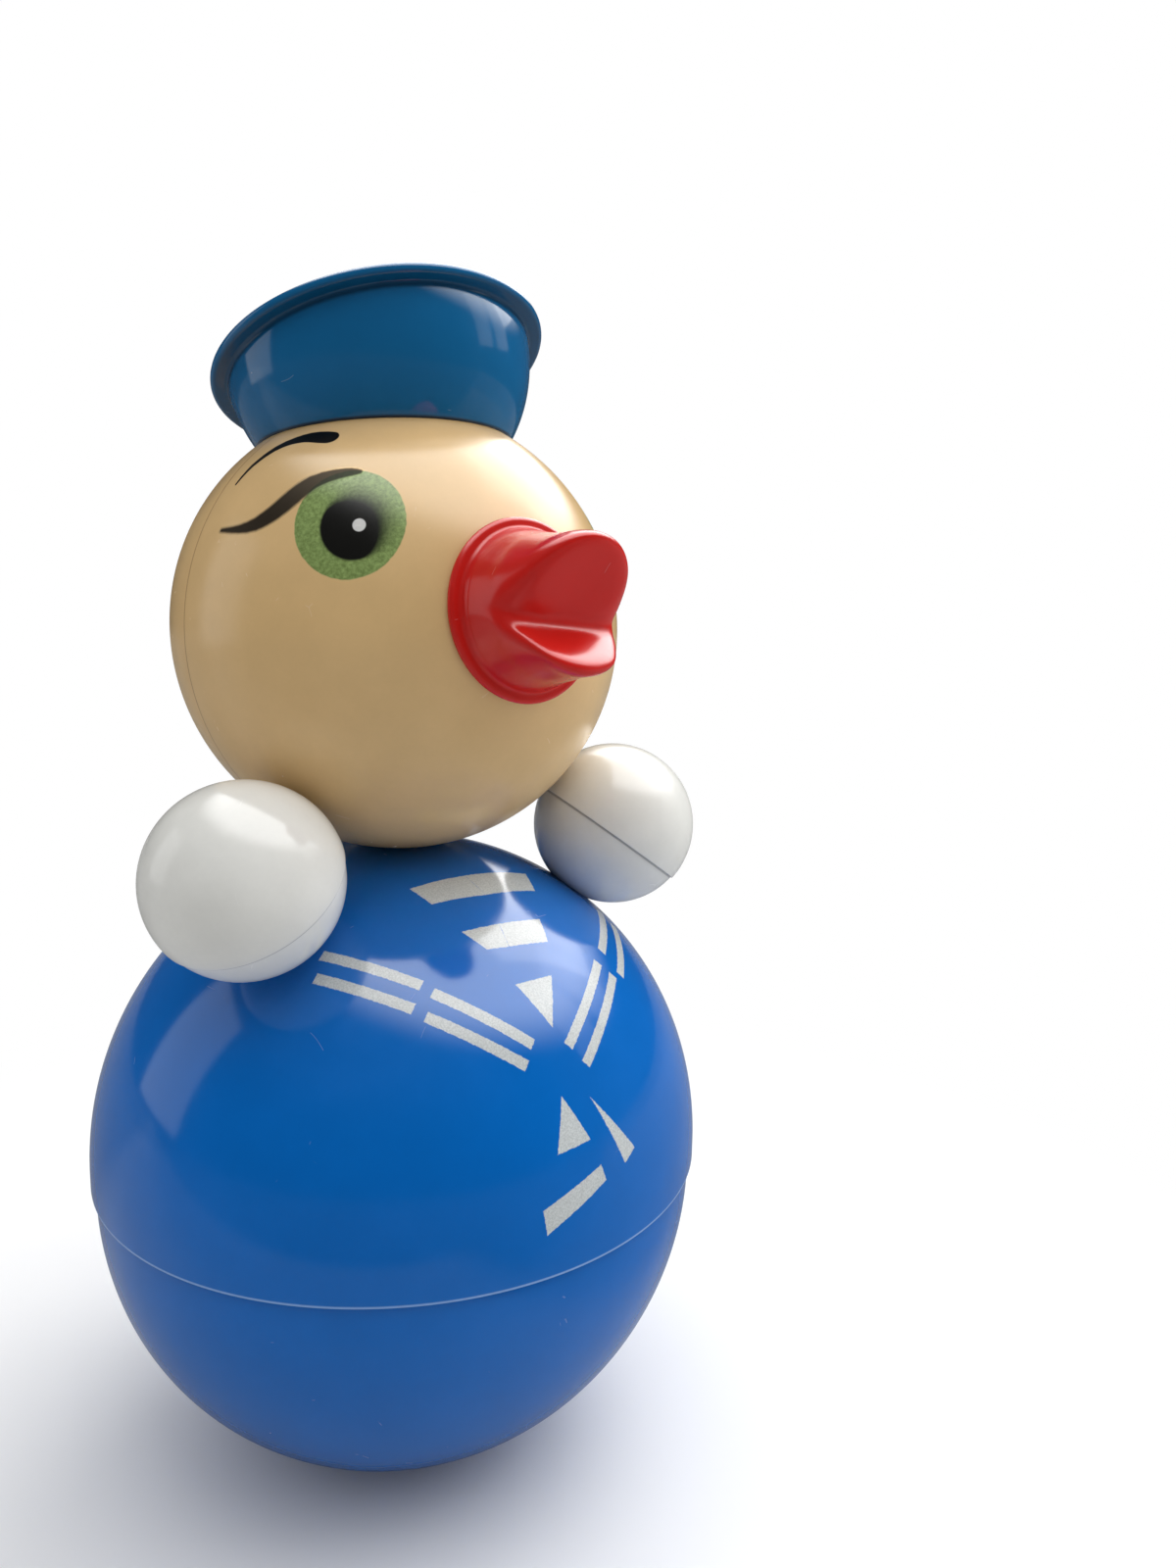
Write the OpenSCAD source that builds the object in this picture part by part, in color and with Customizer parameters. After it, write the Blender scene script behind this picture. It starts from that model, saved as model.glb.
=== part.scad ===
// Roly-poly duckling in sailor dress. Two half balls close over a cast weight and a
// hammer chime; a ball head with a flanged bill, two ball arms and a tilted cap sit on top.
// Millimetres. The origin is the resting point under the ball, +Z is up, the bill points to -Y.

/* [Body] */
// Outer radius of the upper half ball
upper_r = 75; // [70:0.5:85]
// How far the upper half stands proud of the lower half at the seam
seam_step = 1.1; // [0.6:0.1:1.6]
// Distance between the centres of the two half balls
centre_gap = 6.2; // [5:0.1:9]
// Drop of the seam below the centre of the upper half ball
seam_drop = 3.7; // [2:0.1:4.5]
// Wall of both body shells
body_wall = 2.4; // [2:0.1:3]
// Height of the tongue that laps inside the seam
lap_h = 5; // [3:0.5:8]
// Thickness of that tongue
lap_wall = 1.8; // [1.5:0.1:2.4]
// Gap round a joint that is pushed or glued together
fit_gap = 0.1; // [0.05:0.05:0.2]
// Gap under a ball that rests in a dished seat
seat_gap = 0.05; // [0.02:0.01:0.1]
// Radius of the trimmed moulding mark that the ball stands on
foot_r = 4; // [3:0.5:6]

/* [Neck] */
// Radius of the plug that holds the head
neck_r = 6; // [4.5:0.5:7]
// Radius of the plug's flange and of its ring
neck_flange_r = 9.5; // [8:0.5:10.5]
// Thickness of the flange and of the ring
neck_flange_t = 2.2; // [1.6:0.2:3]
// Radius of the thickened collars at the neck
collar_r = 11; // [10.5:0.5:13]
// Added thickness of those collars
collar_t = 3; // [2:0.5:4]
// Length of the plug past its ring
neck_end = 1.5; // [1:0.5:3]

/* [Head] */
// Outer radius of the head
head_r = 52.5; // [47:0.5:58]
// Wall of the head shells
head_wall = 2.4; // [2:0.1:3]
// Depth that the head sinks into its dish on the body
head_sink = 1; // [0.6:0.1:1.3]
// Distance of the head's seam behind its centre
head_seam_back = 2; // [0:0.5:4]
// Length of the lap between the head's halves
head_lap = 4; // [3:0.5:6]
// Outer skin left over that lap
head_skin = 1.2; // [1:0.1:1.3]

/* [Arms] */
// Outer radius of an arm ball
arm_r = 21.1; // [18:0.1:24]
// Wall of an arm's outer half
arm_wall = 2; // [1.6:0.1:2.4]
// Gap between an arm and the head
arm_gap = 1.2; // [0.6:0.1:3]
// Turn of the arms away from the front, in degrees
arm_turn = 67; // [60:1:90]
// Depth that an arm is cut to seat on the body
arm_sink = 1.5; // [1:0.1:2]
// Distance of an arm's seam from its middle, towards the body
arm_seam = 2.75; // [1:0.25:5]
// How far the outer half stands proud of the inner half
arm_step = 0.4; // [0.2:0.1:0.8]
// Length of the lap inside the arm's seam
arm_lap = 3; // [2:0.5:5]
// Thickness of that lap
arm_lap_wall = 1.5; // [1.2:0.1:1.8]
// Radius of the peg that holds an arm
arm_peg_r = 4; // [3:0.5:5]
// Length of the peg past the body wall
arm_peg_end = 3; // [2:0.5:5]

/* [Bill] */
// Upward tilt of the bill, in degrees
bill_lift = 7.2; // [0:0.2:12]
// Roll of the bill towards the left arm, in degrees
bill_roll = 5; // [0:0.5:8]
// Radius of the flange against the head
flange_r = 19.5; // [18.5:0.5:22]
// Thickness of the flange
flange_t = 2; // [1.4:0.2:2.6]
// Radius of the drum at the flange
drum_base_r = 17.2; // [16.5:0.1:18]
// Radius of the drum at the lips
drum_tip_r = 14.2; // [13.5:0.1:16]
// Length of the hollow sweep in which the drum narrows
drum_taper = 8; // [5:0.5:12]
// Reach of the upper lip from the head
upper_lip = 30; // [27:0.5:34]
// Reach of the lower lip from the head
lower_lip = 22; // [20:0.5:25]
// Rounding of the lips' front edge
lip_round = 3.5; // [2:0.5:4.5]
// Distance of the strip at the back of the mouth from the head
mouth_depth = 13.9; // [12.5:0.1:15]
// Drop of that strip's upper edge below the bill's axis
mouth_drop = 2.9; // [1:0.1:4]
// Height of the strip
mouth_strip = 1.9; // [1:0.1:3]
// Slope of the upper lip's inner face, in degrees
mouth_up = 49; // [45:1:52]
// Slope of the lower lip's inner face, in degrees
mouth_down = 44; // [38:1:50]
// Radius of the shallow dish in the upper lip's inner face
dish_r = 9; // [7:0.5:9.5]
// Depth of that dish
dish_depth = 1; // [0.5:0.1:1.4]
// Distance of the dish's middle from the strip
dish_at = 10.5; // [10:0.5:12]
// Radius of the plug that enters the head
bill_plug_r = 14; // [12.5:0.5:15]
// Wall of the plug and of the drum in front of it
bill_wall = 2.2; // [1.8:0.1:2.6]
// Length of the plug inside the head
bill_plug_len = 4; // [2:0.5:6]

/* [Cap] */
// Lean of the cap's seat behind the top of the head, in degrees
cap_lean = 7.6; // [0:0.2:12]
// Height of the bowl's centre over the head
cap_lift = 10.7; // [9:0.1:14]
// Backward tilt of the rim, in degrees
cap_tilt = 23.6; // [16:0.2:26]
// Outer radius of the bowl
cap_r = 35.7; // [33:0.1:38]
// Wall of the bowl
cap_wall = 2; // [1.6:0.1:2.4]
// Reach of the rim past the bowl
rim_w = 3.6; // [2.6:0.1:5]
// Thickness of the rim
rim_t = 2.2; // [1.6:0.1:2.8]
// Radius of the peg under the bowl
cap_peg_r = 9; // [7:0.5:11]
// Length of that peg inside the head
cap_peg_len = 5; // [3:0.5:8]
// Thickness of the crown disc
crown_t = 1.8; // [1.4:0.1:2.4]
// Rise of the crown's dome
crown_rise = 2.5; // [1.5:0.5:5]
// Width of the ledge under the crown
ledge_w = 2; // [1.5:0.5:3]
// Thickness of that ledge
ledge_t = 1.6; // [1.2:0.2:2.4]

/* [Weight] */
// Gap between the lip round the weight and the screw bosses
weight_gap = 2; // [1:0.1:4]
// Height of its top over the resting point
weight_top = 26; // [24:0.5:30]
// Set-back of the weight that balances the bill and arms
weight_back = 2.4; // [0:0.1:3]

/* [Chime] */
// Thickness of the plate over the weight
plate_t = 3; // [2.4:0.2:4]
// Gap between the plate's edge and the shell
plate_gap = 1; // [0.6:0.1:2]
// Width of the plate's lip round the weight
plate_lip = 1.4; // [1:0.1:1.8]
// Depth of that lip
plate_lip_h = 3; // [2:0.5:5]
// Distance of the screws from the plate's edge
screw_inset = 4.2; // [3.6:0.1:5.5]
// Radius of the screw bosses and of the bridge's feet
boss_r = 4.2; // [3.6:0.1:4.5]
// Radius of a screw's shank
screw_r = 1.4; // [1.2:0.1:1.6]
// Gap round a screw in its holes
screw_gap = 0.05; // [0.02:0.01:0.1]
// Depth of a screw in its boss
screw_bite = 4; // [3:0.2:4.6]
// Radius of a screw's head
screw_head_r = 2.8; // [2.4:0.1:3.4]
// Height of a screw's head
screw_head_h = 1.8; // [1.4:0.1:2.4]
// Thickness of the bridge's feet
foot_t = 3; // [2.4:0.2:4]
// Width of the bridge's posts, along X
post_w = 6; // [4:0.5:7]
// Height of the upper pivot over the resting point
pivot_z = 96; // [90:1:105]
// Distance from the upper pivot up to the bridge's beam
beam_gap = 6; // [5:0.5:9]
// Depth of the bridge's beam
beam_h = 6; // [4:0.5:9]
// Radius of the rods
rod_r = 1.5; // [1.2:0.1:2]
// Distance of the nearest rods from the middle
rod_far = 24; // [22:0.5:27]
// Length of the shortest rod
rod_len = 36; // [32:1:40]
// Added length from each rod to the next
rod_step = 2; // [1:0.5:3]
// Gap round a rod in its hole
rod_gap = 0.03; // [0.02:0.01:0.06]
// Radius of both pivot pins
pin_r = 1.5; // [1.2:0.1:1.8]
// Running gap round a pivot pin
pin_gap = 0.06; // [0.03:0.01:0.1]
// Gap round a pin in the ears that hold it
pin_hold = 0.02; // [0.01:0.01:0.04]
// Radius of the link's eyes
eye_r = 3.6; // [3.2:0.1:4]
// Half length of the link's eyes
eye_half = 3.5; // [3.2:0.1:4.5]
// Radius of the web between the link's eyes
web_r = 3; // [2.4:0.1:3.2]
// Gap between an eye and the ears beside it
ear_gap = 0.3; // [0.2:0.05:0.5]
// Thickness of an ear
ear_t = 3; // [2:0.5:4]
// Radius of an ear
ear_r = 4.5; // [4.2:0.1:5]
// Length of a pin past its ears
pin_end = 0.8; // [0.4:0.2:1.6]
// Distance between the link's two pivots
link_len = 12; // [11:0.5:14]
// Distance from the lower pivot to the hammer's middle
striker_len = 34; // [30:0.5:36]
// Radius of the hammer's ball
hammer_r = 9; // [8:0.1:9.2]
// Radius of the hammer's stem
stem_r = 2; // [1.5:0.1:2.5]
// Thickness of the block that joins the striker's ears
yoke_t = 3; // [2:0.5:4]

/* [Hidden] */
$fn = 128;
// How far a cut runs past the face that it opens
past = 1;

body_blue = [0.01, 0.31, 0.63];
cap_blue = [0.07, 0.29, 0.45];
cream = [0.80, 0.68, 0.50];
bill_red = [0.80, 0.13, 0.10];
arm_white = [0.92, 0.92, 0.89];
steel = [0.70, 0.71, 0.73];
iron = [0.27, 0.27, 0.28];
inner_plastic = [0.55, 0.55, 0.52];

// Body
lower_r = upper_r - seam_step;
lower_z = sqrt(lower_r * lower_r - foot_r * foot_r);
upper_z = lower_z + centre_gap;
seam_z = upper_z - seam_drop;
lower_in = lower_r - body_wall;
upper_in = upper_r - body_wall;
lap_r = upper_in - fit_gap;

// Neck and head
head_z = upper_z + upper_r + head_r - head_sink;
head_in = head_r - head_wall;
head_lap_r = head_r - head_skin;
body_collar_z = upper_z + upper_in - collar_t;
head_collar_z = head_z - head_in + collar_t;

// Arms
arm_far = upper_r + arm_r - arm_sink;
head_far = head_z - upper_z;
arm_near = head_r + arm_r + arm_gap;
arm_lean = acos((pow(arm_far, 2) + pow(head_far, 2) - pow(arm_near, 2)) / (2 * arm_far * head_far));
arm_lap_r = arm_r - arm_wall - fit_gap;
arm_hollow_r = arm_lap_r - arm_lap_wall;

// Bill
bill_seat = sqrt(head_r * head_r - flange_r * flange_r);

// Cap
cap_rise = head_r + cap_lift;
cap_y = cap_rise * sin(cap_lean);
cap_z = head_z + cap_rise * cos(cap_lean);
cap_in = cap_r - cap_wall;
crown_edge = cap_in - fit_gap;
crown_ball = (crown_edge * crown_edge + crown_rise * crown_rise) / (2 * crown_rise);

// Weight and chime
plate_z = weight_top;
plate_r = sqrt(lower_in * lower_in - pow(lower_z - weight_top, 2)) - plate_gap;
screw_at = (plate_r - screw_inset) / sqrt(2);
weight_r = norm([screw_at, screw_at - weight_back]) - boss_r - weight_gap - plate_lip - fit_gap;
foot_z = plate_z + plate_t;
screw_top = foot_z + foot_t;
beam_z = pivot_z + beam_gap;
low_pivot_z = pivot_z - link_len;
hammer_z = low_pivot_z - striker_len;
rod_corner = rod_far + (hammer_r + rod_r) * (sqrt(0.5) - 1);
ear_in = eye_half + ear_gap;
ear_out = ear_in + ear_t;
yoke_z = low_pivot_z - ear_r - ear_gap;

// Right half of a disc between two heights, the profile of a slice of a ball
module zone(r, low, high) {
    intersection() {
        circle(r);
        translate([0, low]) square([r, high - low]);
    }
}

// A shell between two radii and two heights, turned about Z
module ring_shell(outer, inner, low, high) {
    rotate_extrude() difference() {
        zone(outer, low, high);
        circle(inner);
    }
}

// The part of the head's room that lies behind a plane across Y
module behind(y) {
    translate([-head_r, y, head_z - head_r]) cube(2 * head_r);
}

// Places
module at_head() { translate([0, 0, head_z]) children(); }
module at_bill() { at_head() rotate([90 - bill_lift, 0, 0]) children(); }
module at_cap_seat() { at_head() rotate([-cap_lean, 0, 0]) children(); }
module at_cap() { translate([0, cap_y, cap_z]) rotate([-cap_tilt, 0, 0]) children(); }
module at_arm() {
    translate([0, 0, upper_z]) rotate([0, arm_lean, arm_turn - 90])
        translate([0, 0, arm_far]) children();
}
module at_screws() {
    for (x = [-1, 1], y = [-1, 1]) translate([x * screw_at, y * screw_at, 0]) children();
}

// Profile of the lower half below the seam, inset from its outside and flat at its foot
module lower_profile(inset, top) {
    r = lower_r - inset;
    translate([0, lower_z]) zone(r, -min(r, lower_z), 0);
    translate([0, lower_z]) square([r, top - lower_z]);
}

// Profile of the upper half above a given height, inset from its outside
module upper_profile(inset, low) {
    r = upper_r - inset;
    translate([0, upper_z]) zone(r, 0, r);
    translate([0, low]) square([r, upper_z - low]);
}

module body_lower_shell() {
    color(body_blue) difference() {
        union() {
            rotate_extrude() {
                difference() {
                    lower_profile(0, seam_z);
                    lower_profile(body_wall, seam_z + past);
                }
                intersection() {
                    translate([lap_r - lap_wall, seam_z - lap_h]) square([lap_wall, 2 * lap_h]);
                    upper_profile(body_wall + fit_gap, seam_z - lap_h);
                }
            }
            intersection() {
                at_screws() cylinder(r = boss_r, h = plate_z);
                translate([0, 0, lower_z]) sphere(lower_r - body_wall / 2);
            }
        }
        at_screws() translate([0, 0, plate_z - screw_bite - screw_gap])
            cylinder(r = screw_r + screw_gap, h = screw_bite + past);
    }
}

module body_upper_shell() {
    color(body_blue) difference() {
        union() {
            rotate_extrude() difference() {
                upper_profile(0, seam_z);
                upper_profile(body_wall, seam_z - past);
            }
            intersection() {
                translate([0, 0, body_collar_z]) cylinder(r = collar_r, h = upper_r);
                translate([0, 0, upper_z]) sphere(upper_r);
            }
        }
        at_head() sphere(head_r + seat_gap);
        translate([0, 0, body_collar_z - past]) cylinder(r = neck_r + fit_gap, h = head_r);
        arm_hole();
        mirror([1, 0, 0]) arm_hole();
    }
}

module arm_hole() {
    at_arm() translate([0, 0, -arm_far + upper_in / 2])
        cylinder(r = arm_peg_r + fit_gap, h = upper_in);
}

// Cast weight, dished to lie in the lower half
module ballast_weight() {
    color(iron) intersection() {
        translate([0, weight_back, 0]) cylinder(r = weight_r, h = weight_top);
        translate([0, 0, lower_z]) sphere(lower_in - seat_gap);
    }
}

// Plate over the weight, with the holes that hold the rods
module chime_base() {
    color(inner_plastic) difference() {
        union() {
            translate([0, 0, plate_z]) cylinder(r = plate_r, h = plate_t);
            translate([0, weight_back, plate_z - plate_lip_h]) difference() {
                cylinder(r = weight_r + fit_gap + plate_lip, h = plate_lip_h + plate_t / 2);
                translate([0, 0, -past]) cylinder(r = weight_r + fit_gap, h = plate_lip_h + past);
            }
        }
        at_screws() translate([0, 0, plate_z - past])
            cylinder(r = screw_r + screw_gap, h = plate_t + 2 * past);
        for (i = [0 : 7]) at_rod(i) translate([0, 0, -past])
            cylinder(r = rod_r + rod_gap, h = plate_t + 2 * past);
    }
}

// Eight rods of rising length ring the hammer: one on each side, and one at each corner
// set as near to the hammer as those on the sides
function rod_place(i) = i % 2 == 0 ? [rod_far, 0, plate_z] : [rod_corner, rod_corner, plate_z];

module at_rod(i) { rotate([0, 0, 90 * floor(i / 2)]) translate(rod_place(i)) children(); }

module chime_rods() {
    color(steel) for (i = [0 : 7]) at_rod(i) cylinder(r = rod_r, h = rod_len + rod_step * i);
}

// Bridge that stands over the rods and carries the hammer
module chime_bridge() {
    color(inner_plastic) difference() {
        union() {
            for (x = [-1, 1]) translate([x * screw_at, 0, foot_z]) {
                for (y = [-1, 1]) translate([0, y * screw_at, 0]) cylinder(r = boss_r, h = foot_t);
                translate([-boss_r, -screw_at, 0]) cube([2 * boss_r, 2 * screw_at, foot_t]);
                translate([-post_w / 2, -ear_r, 0]) cube([post_w, 2 * ear_r, beam_z + beam_h - foot_z]);
            }
            translate([-screw_at, -ear_r, beam_z]) cube([2 * screw_at, 2 * ear_r, beam_h]);
            for (x = [-ear_out, ear_in]) translate([x, 0, pivot_z]) {
                rotate([0, 90, 0]) cylinder(r = ear_r, h = ear_t);
                translate([0, -ear_r, 0]) cube([ear_t, 2 * ear_r, beam_gap + beam_h / 2]);
            }
        }
        at_screws() translate([0, 0, foot_z - past])
            cylinder(r = screw_r + screw_gap, h = foot_t + 2 * past);
        translate([-ear_out - past, 0, pivot_z]) rotate([0, 90, 0])
            cylinder(r = pin_r + pin_hold, h = 2 * (ear_out + past));
    }
}

module chime_screws() {
    color(steel) at_screws() {
        translate([0, 0, plate_z - screw_bite])
            cylinder(r = screw_r, h = screw_top - plate_z + screw_bite + screw_head_h / 2);
        translate([0, 0, screw_top]) rotate_extrude() intersection() {
            translate([0, screw_head_h - 2 * screw_head_r]) circle(2 * screw_head_r);
            square([screw_head_r, screw_head_h]);
        }
    }
}

module hanger_pin() {
    color(steel) translate([-ear_out - pin_end, 0, pivot_z]) rotate([0, 90, 0])
        cylinder(r = pin_r, h = 2 * (ear_out + pin_end));
}

// Link whose two eyes cross, so that the hammer swings every way
module hanger_link() {
    color(inner_plastic) difference() {
        union() {
            translate([-eye_half, 0, pivot_z]) rotate([0, 90, 0]) cylinder(r = eye_r, h = 2 * eye_half);
            translate([0, eye_half, low_pivot_z]) rotate([90, 0, 0]) cylinder(r = eye_r, h = 2 * eye_half);
            translate([0, 0, low_pivot_z]) cylinder(r = web_r, h = link_len);
        }
        translate([-eye_half - past, 0, pivot_z]) rotate([0, 90, 0])
            cylinder(r = pin_r + pin_gap, h = 2 * (eye_half + past));
        translate([0, eye_half + past, low_pivot_z]) rotate([90, 0, 0])
            cylinder(r = pin_r + pin_gap, h = 2 * (eye_half + past));
    }
}

// Hammer on its stem under a yoke
module striker() {
    color(steel) difference() {
        union() {
            translate([0, 0, hammer_z]) sphere(hammer_r);
            translate([0, 0, hammer_z]) cylinder(r = stem_r, h = yoke_z - hammer_z);
            translate([-ear_r, -ear_out, yoke_z - yoke_t]) cube([2 * ear_r, 2 * ear_out, yoke_t]);
            for (y = [-ear_out, ear_in]) translate([0, y + ear_t, low_pivot_z]) {
                rotate([90, 0, 0]) cylinder(r = ear_r, h = ear_t);
                translate([-ear_r, -ear_t, yoke_z - yoke_t / 2 - low_pivot_z])
                    cube([2 * ear_r, ear_t, low_pivot_z - yoke_z + yoke_t / 2]);
            }
        }
        translate([0, ear_out + past, low_pivot_z]) rotate([90, 0, 0])
            cylinder(r = pin_r + pin_hold, h = 2 * (ear_out + past));
    }
}

module striker_pin() {
    color(steel) translate([0, ear_out + pin_end, low_pivot_z]) rotate([90, 0, 0])
        cylinder(r = pin_r, h = 2 * (ear_out + pin_end));
}

// Plug from inside the body up into the head, and the ring that holds it there
module neck_plug() {
    color(inner_plastic) {
        translate([0, 0, body_collar_z - neck_flange_t]) cylinder(r = neck_flange_r, h = neck_flange_t);
        translate([0, 0, body_collar_z - neck_flange_t / 2])
            cylinder(r = neck_r, h = head_collar_z - body_collar_z + 1.5 * neck_flange_t + neck_end);
    }
}

module neck_ring() {
    color(inner_plastic) translate([0, 0, head_collar_z]) difference() {
        cylinder(r = neck_flange_r, h = neck_flange_t);
        translate([0, 0, -past]) cylinder(r = neck_r + seat_gap, h = neck_flange_t + 2 * past);
    }
}

// Thick pad round the neck hole, inside the head
module head_collar() {
    intersection() {
        translate([0, 0, head_z - head_r]) cylinder(r = collar_r, h = head_collar_z - head_z + head_r);
        at_head() sphere(head_r);
    }
}

module head_holes() {
    translate([0, 0, head_z - head_r - past]) cylinder(r = neck_r + fit_gap, h = head_r);
    at_bill() translate([0, 0, head_in / 2]) cylinder(r = bill_plug_r + fit_gap, h = head_in);
    at_cap_seat() translate([0, 0, head_in / 2]) cylinder(r = cap_peg_r + fit_gap, h = head_in);
}

module head_front_shell() {
    color(cream) difference() {
        union() {
            at_head() rotate([90, 0, 0]) ring_shell(head_r, head_in, -head_seam_back, head_r);
            difference() {
                head_collar();
                behind(head_seam_back);
            }
        }
        at_head() rotate([90, 0, 0]) rotate_extrude()
            zone(head_lap_r, -head_seam_back - past, head_lap - head_seam_back);
        head_holes();
    }
}

module head_rear_shell() {
    lap_front = head_seam_back - head_lap + fit_gap;
    color(cream) difference() {
        union() {
            at_head() rotate([90, 0, 0]) {
                ring_shell(head_r, head_in, -head_r, -head_seam_back);
                ring_shell(head_lap_r - fit_gap, head_in, -head_seam_back - past, -lap_front);
            }
            intersection() {
                head_collar();
                union() {
                    behind(head_seam_back);
                    intersection() {
                        at_head() sphere(head_lap_r - fit_gap);
                        behind(lap_front);
                    }
                }
            }
        }
        head_holes();
    }
}

// Profile of the flange, the swept drum and a rounded front end, from inside the head outwards
module bill_profile(reach) {
    flange_flat = flange_r - flange_t / 2;
    drum_z = bill_seat + flange_t;
    sweep_w = drum_base_r - drum_tip_r;
    sweep_r = (sweep_w * sweep_w + drum_taper * drum_taper) / (2 * sweep_w);
    translate([0, head_in]) square([flange_flat, drum_z - head_in]);
    translate([flange_flat, bill_seat + flange_t / 2]) circle(flange_t / 2);
    difference() {
        translate([0, bill_seat]) square([drum_base_r, flange_t + drum_taper]);
        translate([drum_tip_r + sweep_r, drum_z + drum_taper]) circle(sweep_r);
    }
    translate([0, bill_seat]) {
        square([drum_tip_r, reach - lip_round]);
        square([drum_tip_r - lip_round, reach]);
        translate([drum_tip_r - lip_round, reach - lip_round]) circle(lip_round);
    }
}

// Half of the bill, turned from its profile: above the strip for up 1, from its edge down for up 0
module bill_half(reach, up) {
    intersection() {
        rotate_extrude() bill_profile(reach);
        translate([-flange_r, (up - 1) * 2 * flange_r - mouth_drop, 0])
            cube([2 * flange_r, 2 * flange_r, bill_seat + reach + past]);
    }
}

// Open mouth: a notch right across the drum, with a narrow strip at its back
module mouth() {
    span = 2 * upper_lip;
    rotate([0, -90, 0]) linear_extrude(height = 4 * flange_r, center = true)
        translate([bill_seat + mouth_depth, -mouth_drop])
            polygon([[0, 0], [span, span * tan(mouth_up)],
                     [span, -mouth_strip - span * tan(mouth_down)], [0, -mouth_strip]]);
}

// Ball that hollows the inner face of the upper lip and leaves a rim round it
module lip_dish() {
    ball = (dish_r * dish_r + dish_depth * dish_depth) / (2 * dish_depth);
    translate([0, -mouth_drop, bill_seat + mouth_depth]) rotate([-mouth_up, 0, 0])
        translate([0, dish_depth - ball, dish_at]) sphere(ball);
}

module beak() {
    plug_z = head_in - bill_plug_len;
    color(bill_red) at_bill() rotate([0, 0, -bill_roll]) difference() {
        union() {
            difference() {
                union() {
                    difference() {
                        bill_half(upper_lip, 1);
                        lip_dish();
                    }
                    bill_half(lower_lip, 0);
                }
                sphere(head_r + seat_gap);
                mouth();
            }
            translate([0, 0, plug_z]) cylinder(r = bill_plug_r, h = head_r + flange_t - plug_z);
        }
        translate([0, 0, plug_z - past])
            cylinder(r = bill_plug_r - bill_wall, h = bill_seat + mouth_depth - bill_wall - plug_z + past);
    }
}

// Half-ball cap with a rolled rim, closed below by a dished floor with a peg
module cap_bowl() {
    color(cap_blue) {
        difference() {
            at_cap() rotate_extrude() {
                difference() {
                    zone(cap_r, -cap_r, 0);
                    zone(cap_in, -cap_r, past);
                }
                translate([cap_in, -rim_t]) square([cap_wall + rim_w - rim_t / 2, rim_t]);
                translate([cap_r + rim_w - rim_t / 2, -rim_t / 2]) circle(rim_t / 2);
                intersection() {
                    difference() {
                        circle(cap_in + cap_wall / 2);
                        square([2 * (crown_edge - ledge_w), 8 * cap_r], center = true);
                    }
                    translate([0, -crown_t - ledge_t]) square([cap_r, ledge_t]);
                }
            }
            at_head() sphere(head_r + seat_gap);
        }
        difference() {
            union() {
                intersection() {
                    at_head() sphere(head_r + seat_gap + cap_wall);
                    at_cap() sphere(cap_in + cap_wall / 2);
                }
                at_cap_seat() translate([0, 0, head_in - cap_peg_len])
                    cylinder(r = cap_peg_r, h = cap_peg_len + head_wall + cap_wall);
            }
            difference() {
                at_head() sphere(head_r + seat_gap);
                at_cap_seat() translate([0, 0, head_in - cap_peg_len])
                    cylinder(r = cap_peg_r, h = 2 * head_r);
            }
            at_cap_seat() translate([0, 0, head_in - cap_peg_len - past])
                cylinder(r = cap_peg_r - cap_wall, h = cap_peg_len + head_wall + past);
        }
    }
}

// Crown that closes the cap, a thin dome on the ledge
module cap_top() {
    color(cap_blue) at_cap() rotate_extrude() intersection() {
        difference() {
            translate([0, crown_rise - crown_ball]) circle(crown_ball);
            intersection() {
                translate([0, crown_rise - crown_ball - crown_t]) circle(crown_ball);
                square([2 * (crown_edge - ledge_w), 4 * cap_r], center = true);
            }
        }
        translate([0, -crown_t]) square([cap_r, crown_t + crown_rise]);
        circle(crown_edge);
    }
}

module arm_outer() {
    at_arm() ring_shell(arm_r, arm_r - arm_wall, -arm_seam, arm_r);
}

module arm_inner() {
    floor_t = arm_r - arm_sink - arm_hollow_r;
    difference() {
        at_arm() {
            ring_shell(arm_r - arm_step, arm_hollow_r, -arm_r, -arm_seam);
            ring_shell(arm_lap_r, arm_hollow_r, -arm_seam - past, arm_lap - arm_seam);
        }
        translate([0, 0, upper_z]) sphere(upper_r + seat_gap);
    }
    at_arm() translate([0, 0, upper_in - arm_peg_end - arm_far])
        cylinder(r = arm_peg_r, h = body_wall + arm_peg_end + seat_gap + floor_t / 2);
}

module left_arm_outer() { color(arm_white) arm_outer(); }
module left_arm_inner() { color(arm_white) arm_inner(); }
module right_arm_outer() { color(arm_white) mirror([1, 0, 0]) arm_outer(); }
module right_arm_inner() { color(arm_white) mirror([1, 0, 0]) arm_inner(); }

body_lower_shell();
body_upper_shell();
ballast_weight();
chime_base();
chime_bridge();
chime_screws();
chime_rods();
hanger_pin();
hanger_link();
striker();
striker_pin();
neck_plug();
neck_ring();
head_front_shell();
head_rear_shell();
beak();
cap_bowl();
cap_top();
left_arm_outer();
left_arm_inner();
right_arm_outer();
right_arm_inner();
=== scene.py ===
"""Looks of the roly-poly duckling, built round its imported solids.

Lengths are in millimetres, as in the part, until a mesh is placed in Blender's metres. Only the
lamps are written in metres.
"""
import math

import bmesh
import bpy
import numpy as np
from mathutils import Matrix, Vector


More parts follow.
